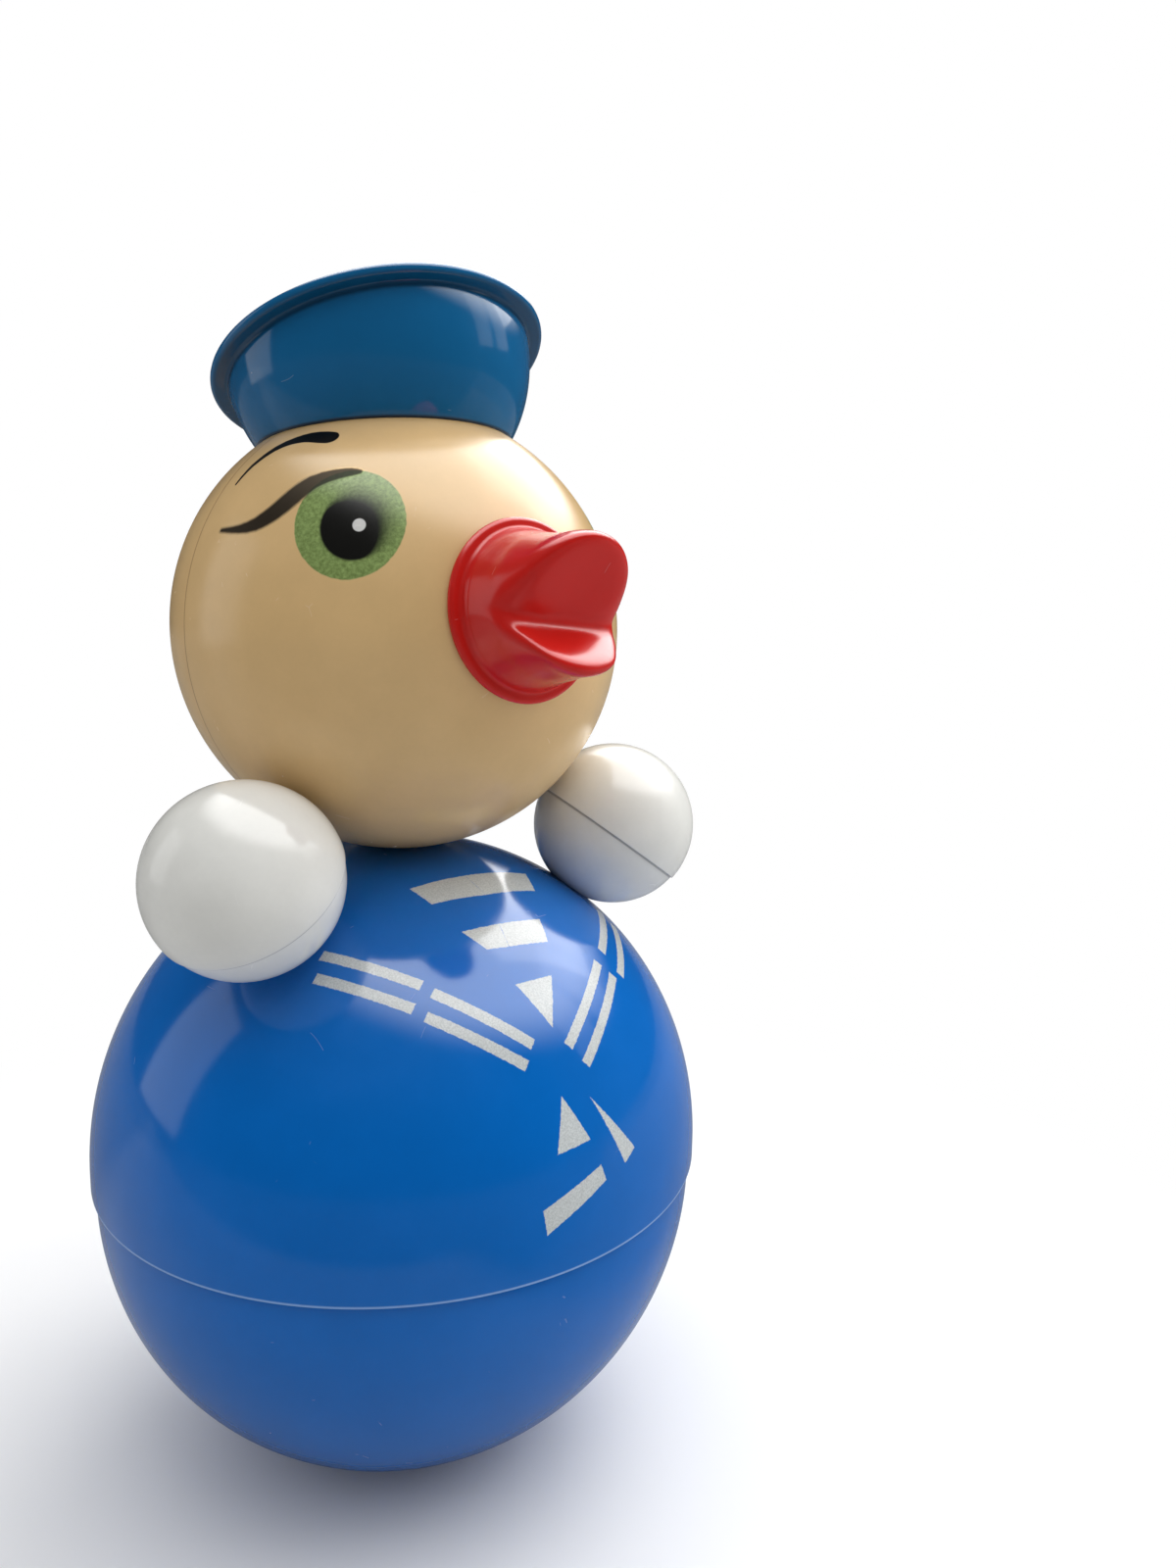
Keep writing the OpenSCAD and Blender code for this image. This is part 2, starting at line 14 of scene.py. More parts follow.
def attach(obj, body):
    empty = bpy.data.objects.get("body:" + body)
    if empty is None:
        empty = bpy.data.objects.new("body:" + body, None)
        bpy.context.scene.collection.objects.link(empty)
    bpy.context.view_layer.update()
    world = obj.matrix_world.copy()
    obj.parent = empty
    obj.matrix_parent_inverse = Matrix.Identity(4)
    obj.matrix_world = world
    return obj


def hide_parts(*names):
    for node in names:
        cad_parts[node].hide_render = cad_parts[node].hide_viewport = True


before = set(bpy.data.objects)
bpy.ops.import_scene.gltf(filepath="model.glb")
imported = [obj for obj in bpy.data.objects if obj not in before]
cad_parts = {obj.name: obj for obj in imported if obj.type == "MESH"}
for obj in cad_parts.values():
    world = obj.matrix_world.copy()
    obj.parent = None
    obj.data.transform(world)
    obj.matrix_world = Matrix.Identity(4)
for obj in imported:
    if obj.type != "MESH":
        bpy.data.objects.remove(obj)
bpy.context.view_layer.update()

MM = 0.001
scene = bpy.context.scene

# Body
UPPER_R = 75.0
LOWER_R = 73.9
FOOT_R = 4.0
BODY_WALL = 2.4
LOWER_Z = math.sqrt(LOWER_R ** 2 - FOOT_R ** 2)
UPPER_Z = LOWER_Z + 6.2
SEAM_Z = UPPER_Z - 3.7
LAP_H = 5.0
LAP_WALL = 1.8
FIT_GAP = 0.1
SEAT_GAP = 0.05
NECK_R = 6.0
COLLAR_R = 11.0
COLLAR_T = 3.0

# Head
HEAD_R = 52.5
HEAD_IN = 50.1
HEAD_SKIN = 1.2
HEAD_LAP = 4.0
HEAD_SEAM = 2.0
HEAD_Z = UPPER_Z + UPPER_R + HEAD_R - 1.0

# Arms
ARM_R = 21.1
ARM_WALL = 2.0
ARM_SEAM = 2.75
ARM_STEP = 0.4
ARM_LAP = 3.0
ARM_LAP_WALL = 1.5
ARM_PEG_R = 4.0
ARM_PEG_END = 3.0
ARM_TURN = 67.0
ARM_FAR = UPPER_R + ARM_R - 1.5
ARM_NEAR = HEAD_R + ARM_R + 1.2

# Bill
BILL_LIFT = 7.2
BILL_ROLL = 5.0
FLANGE_R = 19.5
BILL_SEAT = math.sqrt(HEAD_R ** 2 - FLANGE_R ** 2)
FLANGE_T = 2.0
DRUM_BASE_R = 17.2
DRUM_TIP_R = 14.2
DRUM_TAPER = 8.0
UPPER_LIP = 30.0
LOWER_LIP = 22.0
LIP_ROUND = 3.5
MOUTH_DEPTH = 13.9
MOUTH_DROP = 2.9
MOUTH_STRIP = 1.9
MOUTH_UP = 49.0
MOUTH_DOWN = 44.0
DISH_R = 9.0
DISH_DEPTH = 1.0
DISH_AT = 10.5
BILL_PLUG_R = 14.0
BILL_PLUG_LEN = 4.0
BILL_WALL = 2.2

# Soft forms that only the look has: the drum's fullness, the lips' swelling and squareness, their
# rounded rims, the edge of the dish, the fillets in the mouth and the one between flange and drum
DRUM_FULL = 1.3
LIP_SWELL = 0.6
LIP_WIDE = 1.03
LIP_TALL = 0.955
UPPER_RIM = 6.5
LOWER_RIM = 3.2
DISH_EASE = 2.5
STRIP_EASE = 0.7
CREASE_EASE = 1.2
ROOT_RISE = 0.9
ROOT_WIDE = 0.6

# Cap
CAP_LEAN = 7.6
CAP_RISE = HEAD_R + 10.7
CAP_TILT = 23.6
CAP_R = 35.7
CAP_WALL = 2.0
RIM_W = 3.6
RIM_T = 2.2
CAP_PEG_R = 9.0
CAP_PEG_LEN = 5.0
CROWN_T = 1.8
CROWN_RISE = 2.5
LEDGE_W = 2.0
LEDGE_T = 1.6
CAP_FILLET = 0.9

# How much of each edge is rounded off
EDGE_EASE = 0.25
SEAM_EASE = 0.12
ARM_EASE = 0.15
CROWN_EASE = 0.2
CAP_EASE = 0.3

# How finely pieces are divided, round and along, where faces meet sharply, and how far past a wall
# a cutting tool runs
SEGMENTS = 256
ARM_SEGMENTS = 192
TOOL_SEGMENTS = 128
FINE = 1.0
COARSE = 3.0
SHARP = math.radians(35)
PAST = 1.0

# How the bill's skin is found and divided: columns round it, rows along it, rays tried in a column,
# where the rays start and how far they look, how often each halves its search, and how far and how
# strongly a bend draws rows together
BILL_COLUMNS = 320
BILL_ROWS = 200
BILL_RAYS = 1200
RAY_START = 4.0
RAY_END = 40.0
RAY_HALVINGS = 36
BEND_ALONG = 41
BEND_ASIDE = 8
BEND_WEIGHT = 6.0

# Camera at the photograph's viewing angle: its place, the two axes of its picture, and its lens
CAMERA_AT = (-153.41, -246.57, 219.04)
CAMERA_RIGHT = (0.75635533, -0.65382357, 0.02100812)
CAMERA_UP = (0.0949235, 0.14147072, 0.98538092)
CAMERA_LENS = 27.045
CAMERA_SENSOR = 36
CAMERA_NEAREST = 10


def turn_x(degrees):
    return Matrix.Rotation(math.radians(degrees), 4, "X")


def turn_y(degrees):
    return Matrix.Rotation(math.radians(degrees), 4, "Y")


def turn_z(degrees):
    return Matrix.Rotation(math.radians(degrees), 4, "Z")


def shift(x, y, z):
    return Matrix.Translation((x, y, z))


ARM_LEAN = math.degrees(math.acos(
    (ARM_FAR ** 2 + (HEAD_Z - UPPER_Z) ** 2 - ARM_NEAR ** 2) / (2 * ARM_FAR * (HEAD_Z - UPPER_Z))))
AT_HEAD = shift(0, 0, HEAD_Z)
AT_FACE = AT_HEAD @ turn_x(90)
AT_BILL = AT_HEAD @ turn_x(90 - BILL_LIFT) @ turn_z(-BILL_ROLL)
AT_CAP_SEAT = AT_HEAD @ turn_x(-CAP_LEAN)
AT_CAP = AT_CAP_SEAT @ shift(0, 0, CAP_RISE) @ turn_x(CAP_LEAN - CAP_TILT)
AT_BODY = shift(0, 0, UPPER_Z)
ARM_REACH = shift(0, 0, ARM_FAR)
AT_LEFT_ARM = AT_BODY @ turn_z(ARM_TURN - 90) @ turn_y(ARM_LEAN) @ ARM_REACH
AT_RIGHT_ARM = AT_BODY @ turn_z(90 - ARM_TURN) @ turn_y(-ARM_LEAN) @ ARM_REACH


def set_camera():
    """Makes the camera, and gives back the way it looks."""
    right, up = Vector(CAMERA_RIGHT), Vector(CAMERA_UP)
    back = right.cross(up)
    eye = Vector(CAMERA_AT) * MM
    data = bpy.data.cameras.new("camera")
    data.sensor_width = CAMERA_SENSOR
    data.lens = CAMERA_LENS
    data.clip_start = CAMERA_NEAREST * MM
    camera = bpy.data.objects.new("camera", data)
    camera.matrix_world = Matrix((
        (right.x, up.x, back.x, eye.x),
        (right.y, up.y, back.y, eye.y),
        (right.z, up.z, back.z, eye.z),
        (0, 0, 0, 1)))
    scene.collection.objects.link(camera)
    scene.camera = camera
    return -back


# Finishes: shader maths as Python sums

class Wire:
    """A socket of a node tree; sums on it add Math nodes."""

    def __init__(self, sheet, socket):
        self.sheet = sheet
        self.socket = socket

    def math(self, operation, *values):
        return self.sheet.node("ShaderNodeMath", {"operation": operation}, dict(enumerate(values)))

    def __add__(self, other):
        return self.math("ADD", self, other)

    def __radd__(self, other):
        return self.math("ADD", other, self)

    def __sub__(self, other):
        return self.math("SUBTRACT", self, other)

    def __rsub__(self, other):
        return self.math("SUBTRACT", other, self)

    def __mul__(self, other):
        return self.math("MULTIPLY", self, other)

    def __rmul__(self, other):
        return self.math("MULTIPLY", other, self)

    def __truediv__(self, other):
        return self.math("DIVIDE", self, other)

    def __rtruediv__(self, other):
        return self.math("DIVIDE", other, self)

    def __pow__(self, other):
        return self.math("POWER", self, other)

    def __abs__(self):
        return self.math("ABSOLUTE", self)

    def least(self, other):
        return self.math("MINIMUM", self, other)

    def most(self, other):
        return self.math("MAXIMUM", self, other)

    def above(self, edge):
        return self.math("GREATER_THAN", self, edge)

    def step(self, low, high):
        """0 below low, 1 above high, and a smooth rise between."""
        return self.sheet.node("ShaderNodeMapRange", {"interpolation_type": "SMOOTHSTEP"},
                               {"Value": self, "From Min": low, "From Max": high})


class Sheet:
    """A node tree that grows as values are asked for."""

    def __init__(self, tree):
        self.tree = tree

    def node(self, kind, settings=None, sockets=None, out=0):
        made = self.tree.nodes.new(kind)
        for key, value in (settings or {}).items():
            setattr(made, key, value)
        for key, value in (sockets or {}).items():
            if isinstance(value, Wire):
                self.tree.links.new(value.socket, made.inputs[key])
            else:
                made.inputs[key].default_value = value
        return Wire(self, made.outputs[out])

    def vector(self, operation, *values, out=0):
        return self.node("ShaderNodeVectorMath", {"operation": operation},
                         dict(enumerate(values)), out)

    def scale(self, vector, factor):
        return self.node("ShaderNodeVectorMath", {"operation": "SCALE"},
                         {0: tuple(vector), "Scale": factor})

    def dot(self, vector, axis):
        return self.vector("DOT_PRODUCT", vector, tuple(axis), out=1)

    def place(self):
        """Object coordinates, in millimetres."""
        spot = self.node("ShaderNodeTexCoord", out="Object")
        return self.vector("MULTIPLY", spot, (1 / MM,) * 3)

    def noise(self, vector, size, detail=2.0, roughness=0.5, out=0):
        """Cloudy values round 0.5, with features of about the given size in millimetres."""
        return self.node("ShaderNodeTexNoise", None, {
            "Vector": vector, "Scale": 1 / size, "Detail": detail, "Roughness": roughness}, out)

    def mix(self, factor, a, b):
        return self.node("ShaderNodeMix", {"data_type": "RGBA"}, {0: factor, 6: a, 7: b}, out=2)

    def bump(self, height, strength, distance):
        return self.node("ShaderNodeBump", None, {
            "Height": height, "Strength": strength, "Distance": distance})


def colour(r, g, b):
    return (r, g, b, 1.0)


# Plastics, paints, metals, dirt, painted highlight and painted shade
BODY_BLUE = colour(0.0, 0.140, 0.54)
# Painted highlight along the edge over the body's seam
SEAM_HIGHLIGHT_BLUE = colour(0.30, 0.50, 0.85)
MARK_GREY = colour(0.50, 0.535, 0.54)
MARK_WHITE = colour(0.68, 0.715, 0.72)
CAP_TEAL = colour(0.006, 0.125, 0.31)
PAINTED_SHADE_TEAL = colour(0.001, 0.012, 0.03)
# Painted shade in the groove under the cap's rim and along its foot
BILL_RED = colour(0.62, 0.014, 0.010)
ARM_WHITE = colour(0.84, 0.84, 0.80)
# Painted shadow under the step of each arm's seam
ARM_SEAM_SHADOW = colour(0.30, 0.30, 0.29)
HEAD_CREAM = colour(0.74, 0.500, 0.232)
HEAD_DIRT = colour(0.22, 0.11, 0.04)
IRIS_DARK = colour(0.15, 0.22, 0.062)
IRIS_PALE = colour(0.30, 0.42, 0.135)
LINER_BLACK = colour(0.014, 0.013, 0.012)
PUPIL_BLACK = colour(0.006, 0.006, 0.005)
BROW_BLACK = colour(0.008, 0.007, 0.006)
GLINT_WHITE = colour(0.70, 0.70, 0.68)
STEEL_DARK = colour(0.52, 0.53, 0.55)
STEEL_PALE = colour(0.63, 0.64, 0.66)
IRON_DARK = colour(0.055, 0.055, 0.057)
IRON_PALE = colour(0.10, 0.092, 0.085)
MOULDING_DARK = colour(0.25, 0.25, 0.22)
MOULDING_PALE = colour(0.32, 0.32, 0.28)
SCRATCH_PALE = colour(0.8, 0.8, 0.78)
DUST_PALE = colour(0.75, 0.75, 0.70)

# What marks a moulded gloss: sizes of smudges, grain and sink waves, the strength of the waves, and
# how scratches bend and break
SMUDGE = 22.0
GRAIN = 0.9
SINK = 30.0
SINK_STRENGTH = 0.05
SCRATCH_BEND = 14.0
SCRATCH_SWAY = 9.0
SCRATCH_GAP = 6.0


class Finish(Sheet):
    """A named material round one Principled shader."""

    def __init__(self, name):
        self.material = bpy.data.materials.new(name)
        self.material.use_nodes = True
        super().__init__(self.material.node_tree)
        self.shader = next(n for n in self.tree.nodes if n.type == "BSDF_PRINCIPLED")

    def set(self, **values):
        for key, value in values.items():
            socket = self.shader.inputs[key.replace("_", " ")]
            if isinstance(value, Wire):
                self.tree.links.new(value.socket, socket)
            else:
                socket.default_value = value
        return self.material


def specks(sheet, spot, spacing, radius, share):
    """A mask of scattered dust: a few cells of a grid hold a small dot."""
    grid = {"Vector": spot, "Scale": 1 / spacing}
    cell = sheet.node("ShaderNodeTexVoronoi", None, grid, out="Distance")
    pick = sheet.node("ShaderNodeTexVoronoi", None, grid, out="Color")
    chance = sheet.node("ShaderNodeSeparateColor", None, {"Color": pick})
    dot = 1 - (cell * spacing).step(radius * 0.6, radius)
    return dot * (1 - chance.step(share * 0.98, share))


def scratches(sheet, spot, spacing, width, share):
    """A mask of short fine scratches: thin slices of a stretched, bent cell pattern."""
    bend = sheet.noise(spot, SCRATCH_BEND, 1.0, out=1)
    lean = sheet.vector("MULTIPLY_ADD", bend, (SCRATCH_SWAY,) * 3, spot)
    cell = sheet.node("ShaderNodeTexVoronoi", {"feature": "DISTANCE_TO_EDGE"},
                      {"Vector": lean, "Scale": 1 / spacing})
    line = 1 - (cell * spacing).step(width * 0.4, width)
    gate = sheet.noise(spot, SCRATCH_GAP)
    return line * gate.step(1 - share, 1 - share + 0.03)


def gloss(finish, spot, base, rough, dust=0.35, dark=0.0):
    """A moulded gloss: smudges in the roughness, faint sink waves, dust and hairline scratches.

    Where dark is 1 a flat black paint lies on it, which throws back little more than its own tone.
    """
    smudge = finish.noise(spot, SMUDGE, 4.0, 0.6)
    grain = finish.noise(spot, GRAIN)
    flaw = scratches(finish, spot, spacing=17.0, width=0.09, share=0.34)
    dirt = specks(finish, spot, spacing=5.0, radius=0.22, share=0.07)
    tone = finish.node("ShaderNodeHueSaturation", None, {
        "Color": base, "Value": 0.95 + smudge.step(0.3, 0.75) * 0.08 + grain * 0.03})
    tone = finish.mix(flaw * 0.12, tone, SCRATCH_PALE)
    tone = finish.mix(dirt * dust, tone, DUST_PALE)
    swell = finish.noise(spot, SINK, 1.0) + grain * 0.012 - flaw * 0.05
    return finish.set(
        Base_Color=tone,
        Roughness=rough + smudge.step(0.35, 0.8) * 0.07 + flaw * 0.2 + dirt * 0.4,
        Metallic=dark,
        Normal=finish.bump(swell, SINK_STRENGTH, 0.5 * MM),
        IOR=1.5)


# Directions and marks on a ball

def aim(azimuth, elevation):
    """Unit vector; azimuth runs from the front (-Y) towards +X, elevation upwards, in degrees."""
    a, e = math.radians(azimuth), math.radians(elevation)
    return np.array([math.sin(a) * math.cos(e), -math.cos(a) * math.cos(e), math.sin(e)])


def unit(v):
    return v / np.linalg.norm(v)


def on_ball(sheet, spot, centre_z, radius):
    """The surface point under each place, seen from the ball's centre, in millimetres."""
    out = sheet.vector("NORMALIZE", sheet.vector("SUBTRACT", spot, (0, 0, centre_z)))
    return sheet.vector("MULTIPLY", out, (radius,) * 3)


def folded(sheet, spot, across):
    """Each place on the far side of a plane through the Z axis, mirrored over to the near side."""
    beyond = sheet.dot(spot, across).most(0) * 2
    return sheet.vector("SUBTRACT", spot, sheet.scale(across, beyond))


def height_on(sheet, spot, place):
    """Height of each place along the Z axis of a piece that stands at the given place."""
    return sheet.dot(sheet.vector("SUBTRACT", spot, tuple(place.translation)), place.col[2].xyz)


def patch(sheet, point, corners):
    """Depth inside a convex patch whose corners are (azimuth, elevation)."""
    aims = [aim(*c) for c in corners]
    middle = sum(aims)
    depth = None
    for a, b in zip(aims, aims[1:] + aims[:1]):
        side = unit(np.cross(a, b))
        if side @ middle < 0:
            side = -side
        here = sheet.dot(point, side)
        depth = here if depth is None else depth.least(here)
    return depth


def bar(sheet, point, start, end, width):
    """Depth inside a straight bar between two (azimuth, elevation) ends."""
    a, b = aim(*start), aim(*end)
    side = unit(np.cross(a, b))
    depth = width / 2 - abs(sheet.dot(point, side))
    depth = depth.least(sheet.dot(point, unit(np.cross(side, a))))
    return depth.least(sheet.dot(point, unit(np.cross(b, side))))


def smooth_line(knots):
    """Knots with one more between each two, on a smooth curve through them."""
    k = np.array(knots)
    ends = np.vstack([2 * k[0] - k[1], k, 2 * k[-1] - k[-2]])
    between = (9 * (ends[1:-2] + ends[2:-1]) - ends[:-3] - ends[3:]) / 16
    made = np.empty((2 * len(k) - 1, 3))
    made[::2], made[1::2] = k, between
    return made.tolist()


def stroke(sheet, point, radius, knots):
    """Depth inside a brush stroke through (azimuth, elevation, width) knots."""
    depth = None
    knots = smooth_line(knots)
    for (a1, e1, w1), (a2, e2, w2) in zip(knots, knots[1:]):
        a, b = aim(a1, e1) * radius, aim(a2, e2) * radius
        along = b - a
        reach = sheet.vector("SUBTRACT", point, tuple(a))
        share = sheet.node("ShaderNodeClamp", None, {0: sheet.dot(reach, along / (along @ along))})
        foot = sheet.scale(along, share)
        off = sheet.vector("LENGTH", sheet.vector("SUBTRACT", reach, foot), out=1)
        here = w1 / 2 + share * ((w2 - w1) / 2) - off
        depth = here if depth is None else depth.most(here)
    return depth


def disc(sheet, point, azimuth, elevation, across, up):
    """How far out of an oval spot each place is: 0 at its middle, 1 on its edge."""
    out = aim(azimuth, elevation)
    side = unit(np.cross((0, 0, 1), out))
    over = np.cross(out, side)
    x = sheet.dot(point, side / across)
    y = sheet.dot(point, over / up)
    far = (x * x + y * y) ** 0.5
    behind = 1 - sheet.dot(point, out).above(0)
    return far + behind * 9.0


# Painted marks on the body: corners of patches and ends of bars, as (azimuth, elevation)
SAILOR_PATCHES = (
    ((-28.2, 68.0), (3.2, 70.2), (3.8, 64.0), (-20.4, 63.5)),
    ((3.2, 70.2), (40.0, 65.0), (29.1, 61.1), (3.8, 64.0)),
    ((-13.6, 56.5), (-0.1, 56.9), (-1.4, 51.9), (-8.3, 52.2)),
    ((-0.1, 56.9), (16.2, 55.5), (12.0, 50.8), (-1.4, 51.9)),
    ((-4.8, 44.8), (6.1, 44.8), (0.0, 36.2)),
    ((-2.7, 25.4), (1.5, 17.3), (-5.7, 16.7)),
    ((3.5, 23.6), (11.7, 12.7), (8.6, 11.1)),
    ((2.9, 12.8), (3.7, 10.0), (-8.8, 4.7), (-9.4, 8.8)),
)
SAILOR_BARS = (
    ((-53.5, 52.1), (-27.4, 46.8)), ((-53.0, 47.8), (-29.5, 42.8)),
    ((-25.1, 45.4), (-5.7, 34.4)), ((-27.0, 41.4), (-8.2, 31.3)),
    ((24.2, 43.5), (2.1, 32.6)), ((26.5, 40.1), (4.8, 28.9)),
    ((56.4, 47.8), (29.4, 44.6)), ((54.2, 44.4), (29.6, 39.2)),
)
BAR_WIDTH = 2.5

# Right eye: spots as (azimuth, elevation, half width, half height), strokes as knots with a width,
# and the turn of the plane that mirrors it for the left eye
IRIS = (-44.1, 26.7, 11.3, 12.3)
PUPIL = (-42.8, 25.6, 6.9, 7.5)
GLINT = (-41.5, 25.7, 1.35, 1.45)
EYELINER = (
    (-81.7, 24.2, 0.9), (-75.1, 24.4, 1.9), (-69.4, 25.7, 3.2), (-64.4, 28.9, 4.1),
    (-60.4, 32.9, 4.4), (-56.4, 36.5, 4.0), (-50.9, 38.7, 3.2), (-45.7, 39.7, 2.4),
    (-43.2, 39.9, 1.4),
)
BROW = (
    (-86.3, 36.8, 0.7), (-84.6, 42.5, 1.4), (-79.8, 48.1, 2.2), (-73.8, 50.9, 2.9),
    (-67.3, 52.2, 3.9), (-61.4, 52.1, 4.5), (-58.4, 51.9, 4.4),
)
EYES_TURN = 6.5


def blue_with_sailor_marks():
    finish = Finish("blue gloss with sailor marks")
    spot = finish.place()
    point = on_ball(finish, spot, UPPER_Z, UPPER_R)
    depth = None
    for corners in SAILOR_PATCHES:
        here = patch(finish, point, corners)
        depth = here if depth is None else depth.most(here)
    for start, end in SAILOR_BARS:
        depth = depth.most(bar(finish, point, start, end, BAR_WIDTH))
    ragged = depth + (finish.noise(spot, 0.8, 3.0, 0.65) - 0.5) * 0.55
    mark = ragged.step(-0.08, 0.12)
    speckle = finish.noise(spot, 0.38, 2.0, 0.7)
    paint = finish.mix(speckle.step(0.3, 0.7), MARK_GREY, MARK_WHITE)
    base = finish.mix(mark, BODY_BLUE, paint)
    # A painted highlight lies pale along the moulded edge over the seam
    seam_highlight = 1 - abs(finish.dot(spot, (0, 0, 1)) - SEAM_Z - 0.2).step(0.2, 0.5)
    base = finish.mix(seam_highlight * 0.8, base, SEAM_HIGHLIGHT_BLUE)
    return gloss(finish, spot, base, rough=0.1)


def blue_gloss():
    finish = Finish("blue gloss")
    spot = finish.place()
    return gloss(finish, spot, BODY_BLUE, rough=0.1)


def teal_gloss():
    finish = Finish("teal gloss")
    spot = finish.place()
    # Painted shade darkens the groove under the rim and the line where the bowl meets the head
    groove_shade = 1 - abs(height_on(finish, spot, AT_CAP) + RIM_T + 0.5).step(0.2, 1.3)
    off_head = finish.vector("LENGTH", finish.vector("SUBTRACT", spot, (0, 0, HEAD_Z)), out=1)
    groove_shade = (groove_shade * 0.75).most(1 - (off_head - HEAD_R).step(0.3, 1.0))
    base = finish.mix(groove_shade * 0.95, CAP_TEAL, PAINTED_SHADE_TEAL)
    return gloss(finish, spot, base, rough=0.08)


def red_gloss():
    finish = Finish("red gloss")
    spot = finish.place()
    return gloss(finish, spot, BILL_RED, rough=0.2)


def white_gloss():
    finish = Finish("white gloss")
    spot = finish.place()
    # Both arms mirror each other, and a painted shadow of the step lies along the seam of each
    height = height_on(finish, folded(finish, spot, (1, 0, 0)), AT_RIGHT_ARM)
    seam = 1 - abs(height + ARM_SEAM + 0.2).step(0.1, 0.4)
    base = finish.mix(seam * 0.6, ARM_WHITE, ARM_SEAM_SHADOW)
    return gloss(finish, spot, base, rough=0.14, dust=0.1)


def cream_with_eyes():
    finish = Finish("cream gloss with painted eyes")
    spot = finish.place()
    # Both eyes mirror each other in a plane turned a little to the left of the bill
    turn = math.radians(EYES_TURN)
    across = (math.cos(turn), math.sin(turn), 0)
    point = on_ball(finish, folded(finish, spot, across), HEAD_Z, HEAD_R)
    wobble = finish.noise(spot, 1.6, 3.0, 0.6) - 0.5
    felt = finish.noise(spot, 0.7, 3.0, 0.7)
    iris = 1 - (disc(finish, point, *IRIS) + wobble * 0.035).step(0.985, 1.01)
    pupil_far = disc(finish, point, *PUPIL)
    # The airbrush was held so that the upper inner edge of the pupil came out soft
    out = aim(*PUPIL[:2])
    side = unit(np.cross((0, 0, 1), out))
    over = np.cross(out, side)
    lean = finish.dot(point, (side * 0.75 + over * 0.66) / 7.0)
    soft = lean.step(-0.5, 1.0) * 0.42 + 0.05
    pupil = 1 - ((pupil_far - 1) / soft * 0.5 + 0.5).step(0.0, 1.0)
    glint = 1 - disc(finish, point, *GLINT).step(0.92, 1.06)
    liner = (stroke(finish, point, HEAD_R, EYELINER) + wobble * 0.3).step(-0.5, 0.4)
    brow = (stroke(finish, point, HEAD_R, BROW) + wobble * 0.12).step(-0.10, 0.10)
    seam = 1 - abs(finish.dot(spot, (0, 1, 0)) - HEAD_SEAM).step(0.12, 0.35)
    base = finish.mix(seam * 0.55, HEAD_CREAM, HEAD_DIRT)
    base = finish.mix(iris, base, finish.mix(felt.step(0.25, 0.75), IRIS_DARK, IRIS_PALE))
    base = finish.mix(liner * 0.95, base, LINER_BLACK)
    base = finish.mix(pupil, base, PUPIL_BLACK)
    base = finish.mix(glint, base, GLINT_WHITE)
    base = finish.mix(brow, base, BROW_BLACK)
    black = brow.most(liner * 0.85)
    return gloss(finish, spot, base, rough=0.2 + black * 0.3, dark=black)


def drawn_steel():
    finish = Finish("drawn steel")
    spot = finish.place()
    stretched = finish.vector("MULTIPLY", spot, (1.0, 1.0, 0.08))
    draw = finish.noise(stretched, 0.35, 3.0, 0.6)
    cloud = finish.noise(spot, 7.0, 3.0)
    tone = finish.mix(cloud.step(0.3, 0.7), STEEL_DARK, STEEL_PALE)
    return finish.set(Base_Color=tone, Metallic=1.0, Roughness=0.22 + draw * 0.22,
                      Normal=finish.bump(draw, 0.12, 0.05 * MM))


def cast_iron():
    finish = Finish("cast iron")
    spot = finish.place()
    sand = finish.noise(spot, 0.7, 4.0, 0.65)
    cloud = finish.noise(spot, 9.0, 3.0)
    tone = finish.mix(cloud.step(0.3, 0.75), IRON_DARK, IRON_PALE)
    return finish.set(Base_Color=tone, Metallic=0.7, Roughness=0.55 + sand * 0.25,
                      Normal=finish.bump(sand, 0.6, 0.25 * MM))


def plain_moulding():
    finish = Finish("plain moulding")
    spot = finish.place()
    haze = finish.noise(spot, 8.0, 3.0)
    grain = finish.noise(spot, 0.25, 2.0)
    tone = finish.mix(haze.step(0.3, 0.75), MOULDING_DARK, MOULDING_PALE)
    return finish.set(Base_Color=tone, Roughness=0.42 + haze * 0.2,
                      Normal=finish.bump(grain, 0.25, 0.08 * MM))


# Turned pieces: a profile of (radius, height) points goes round the Z axis

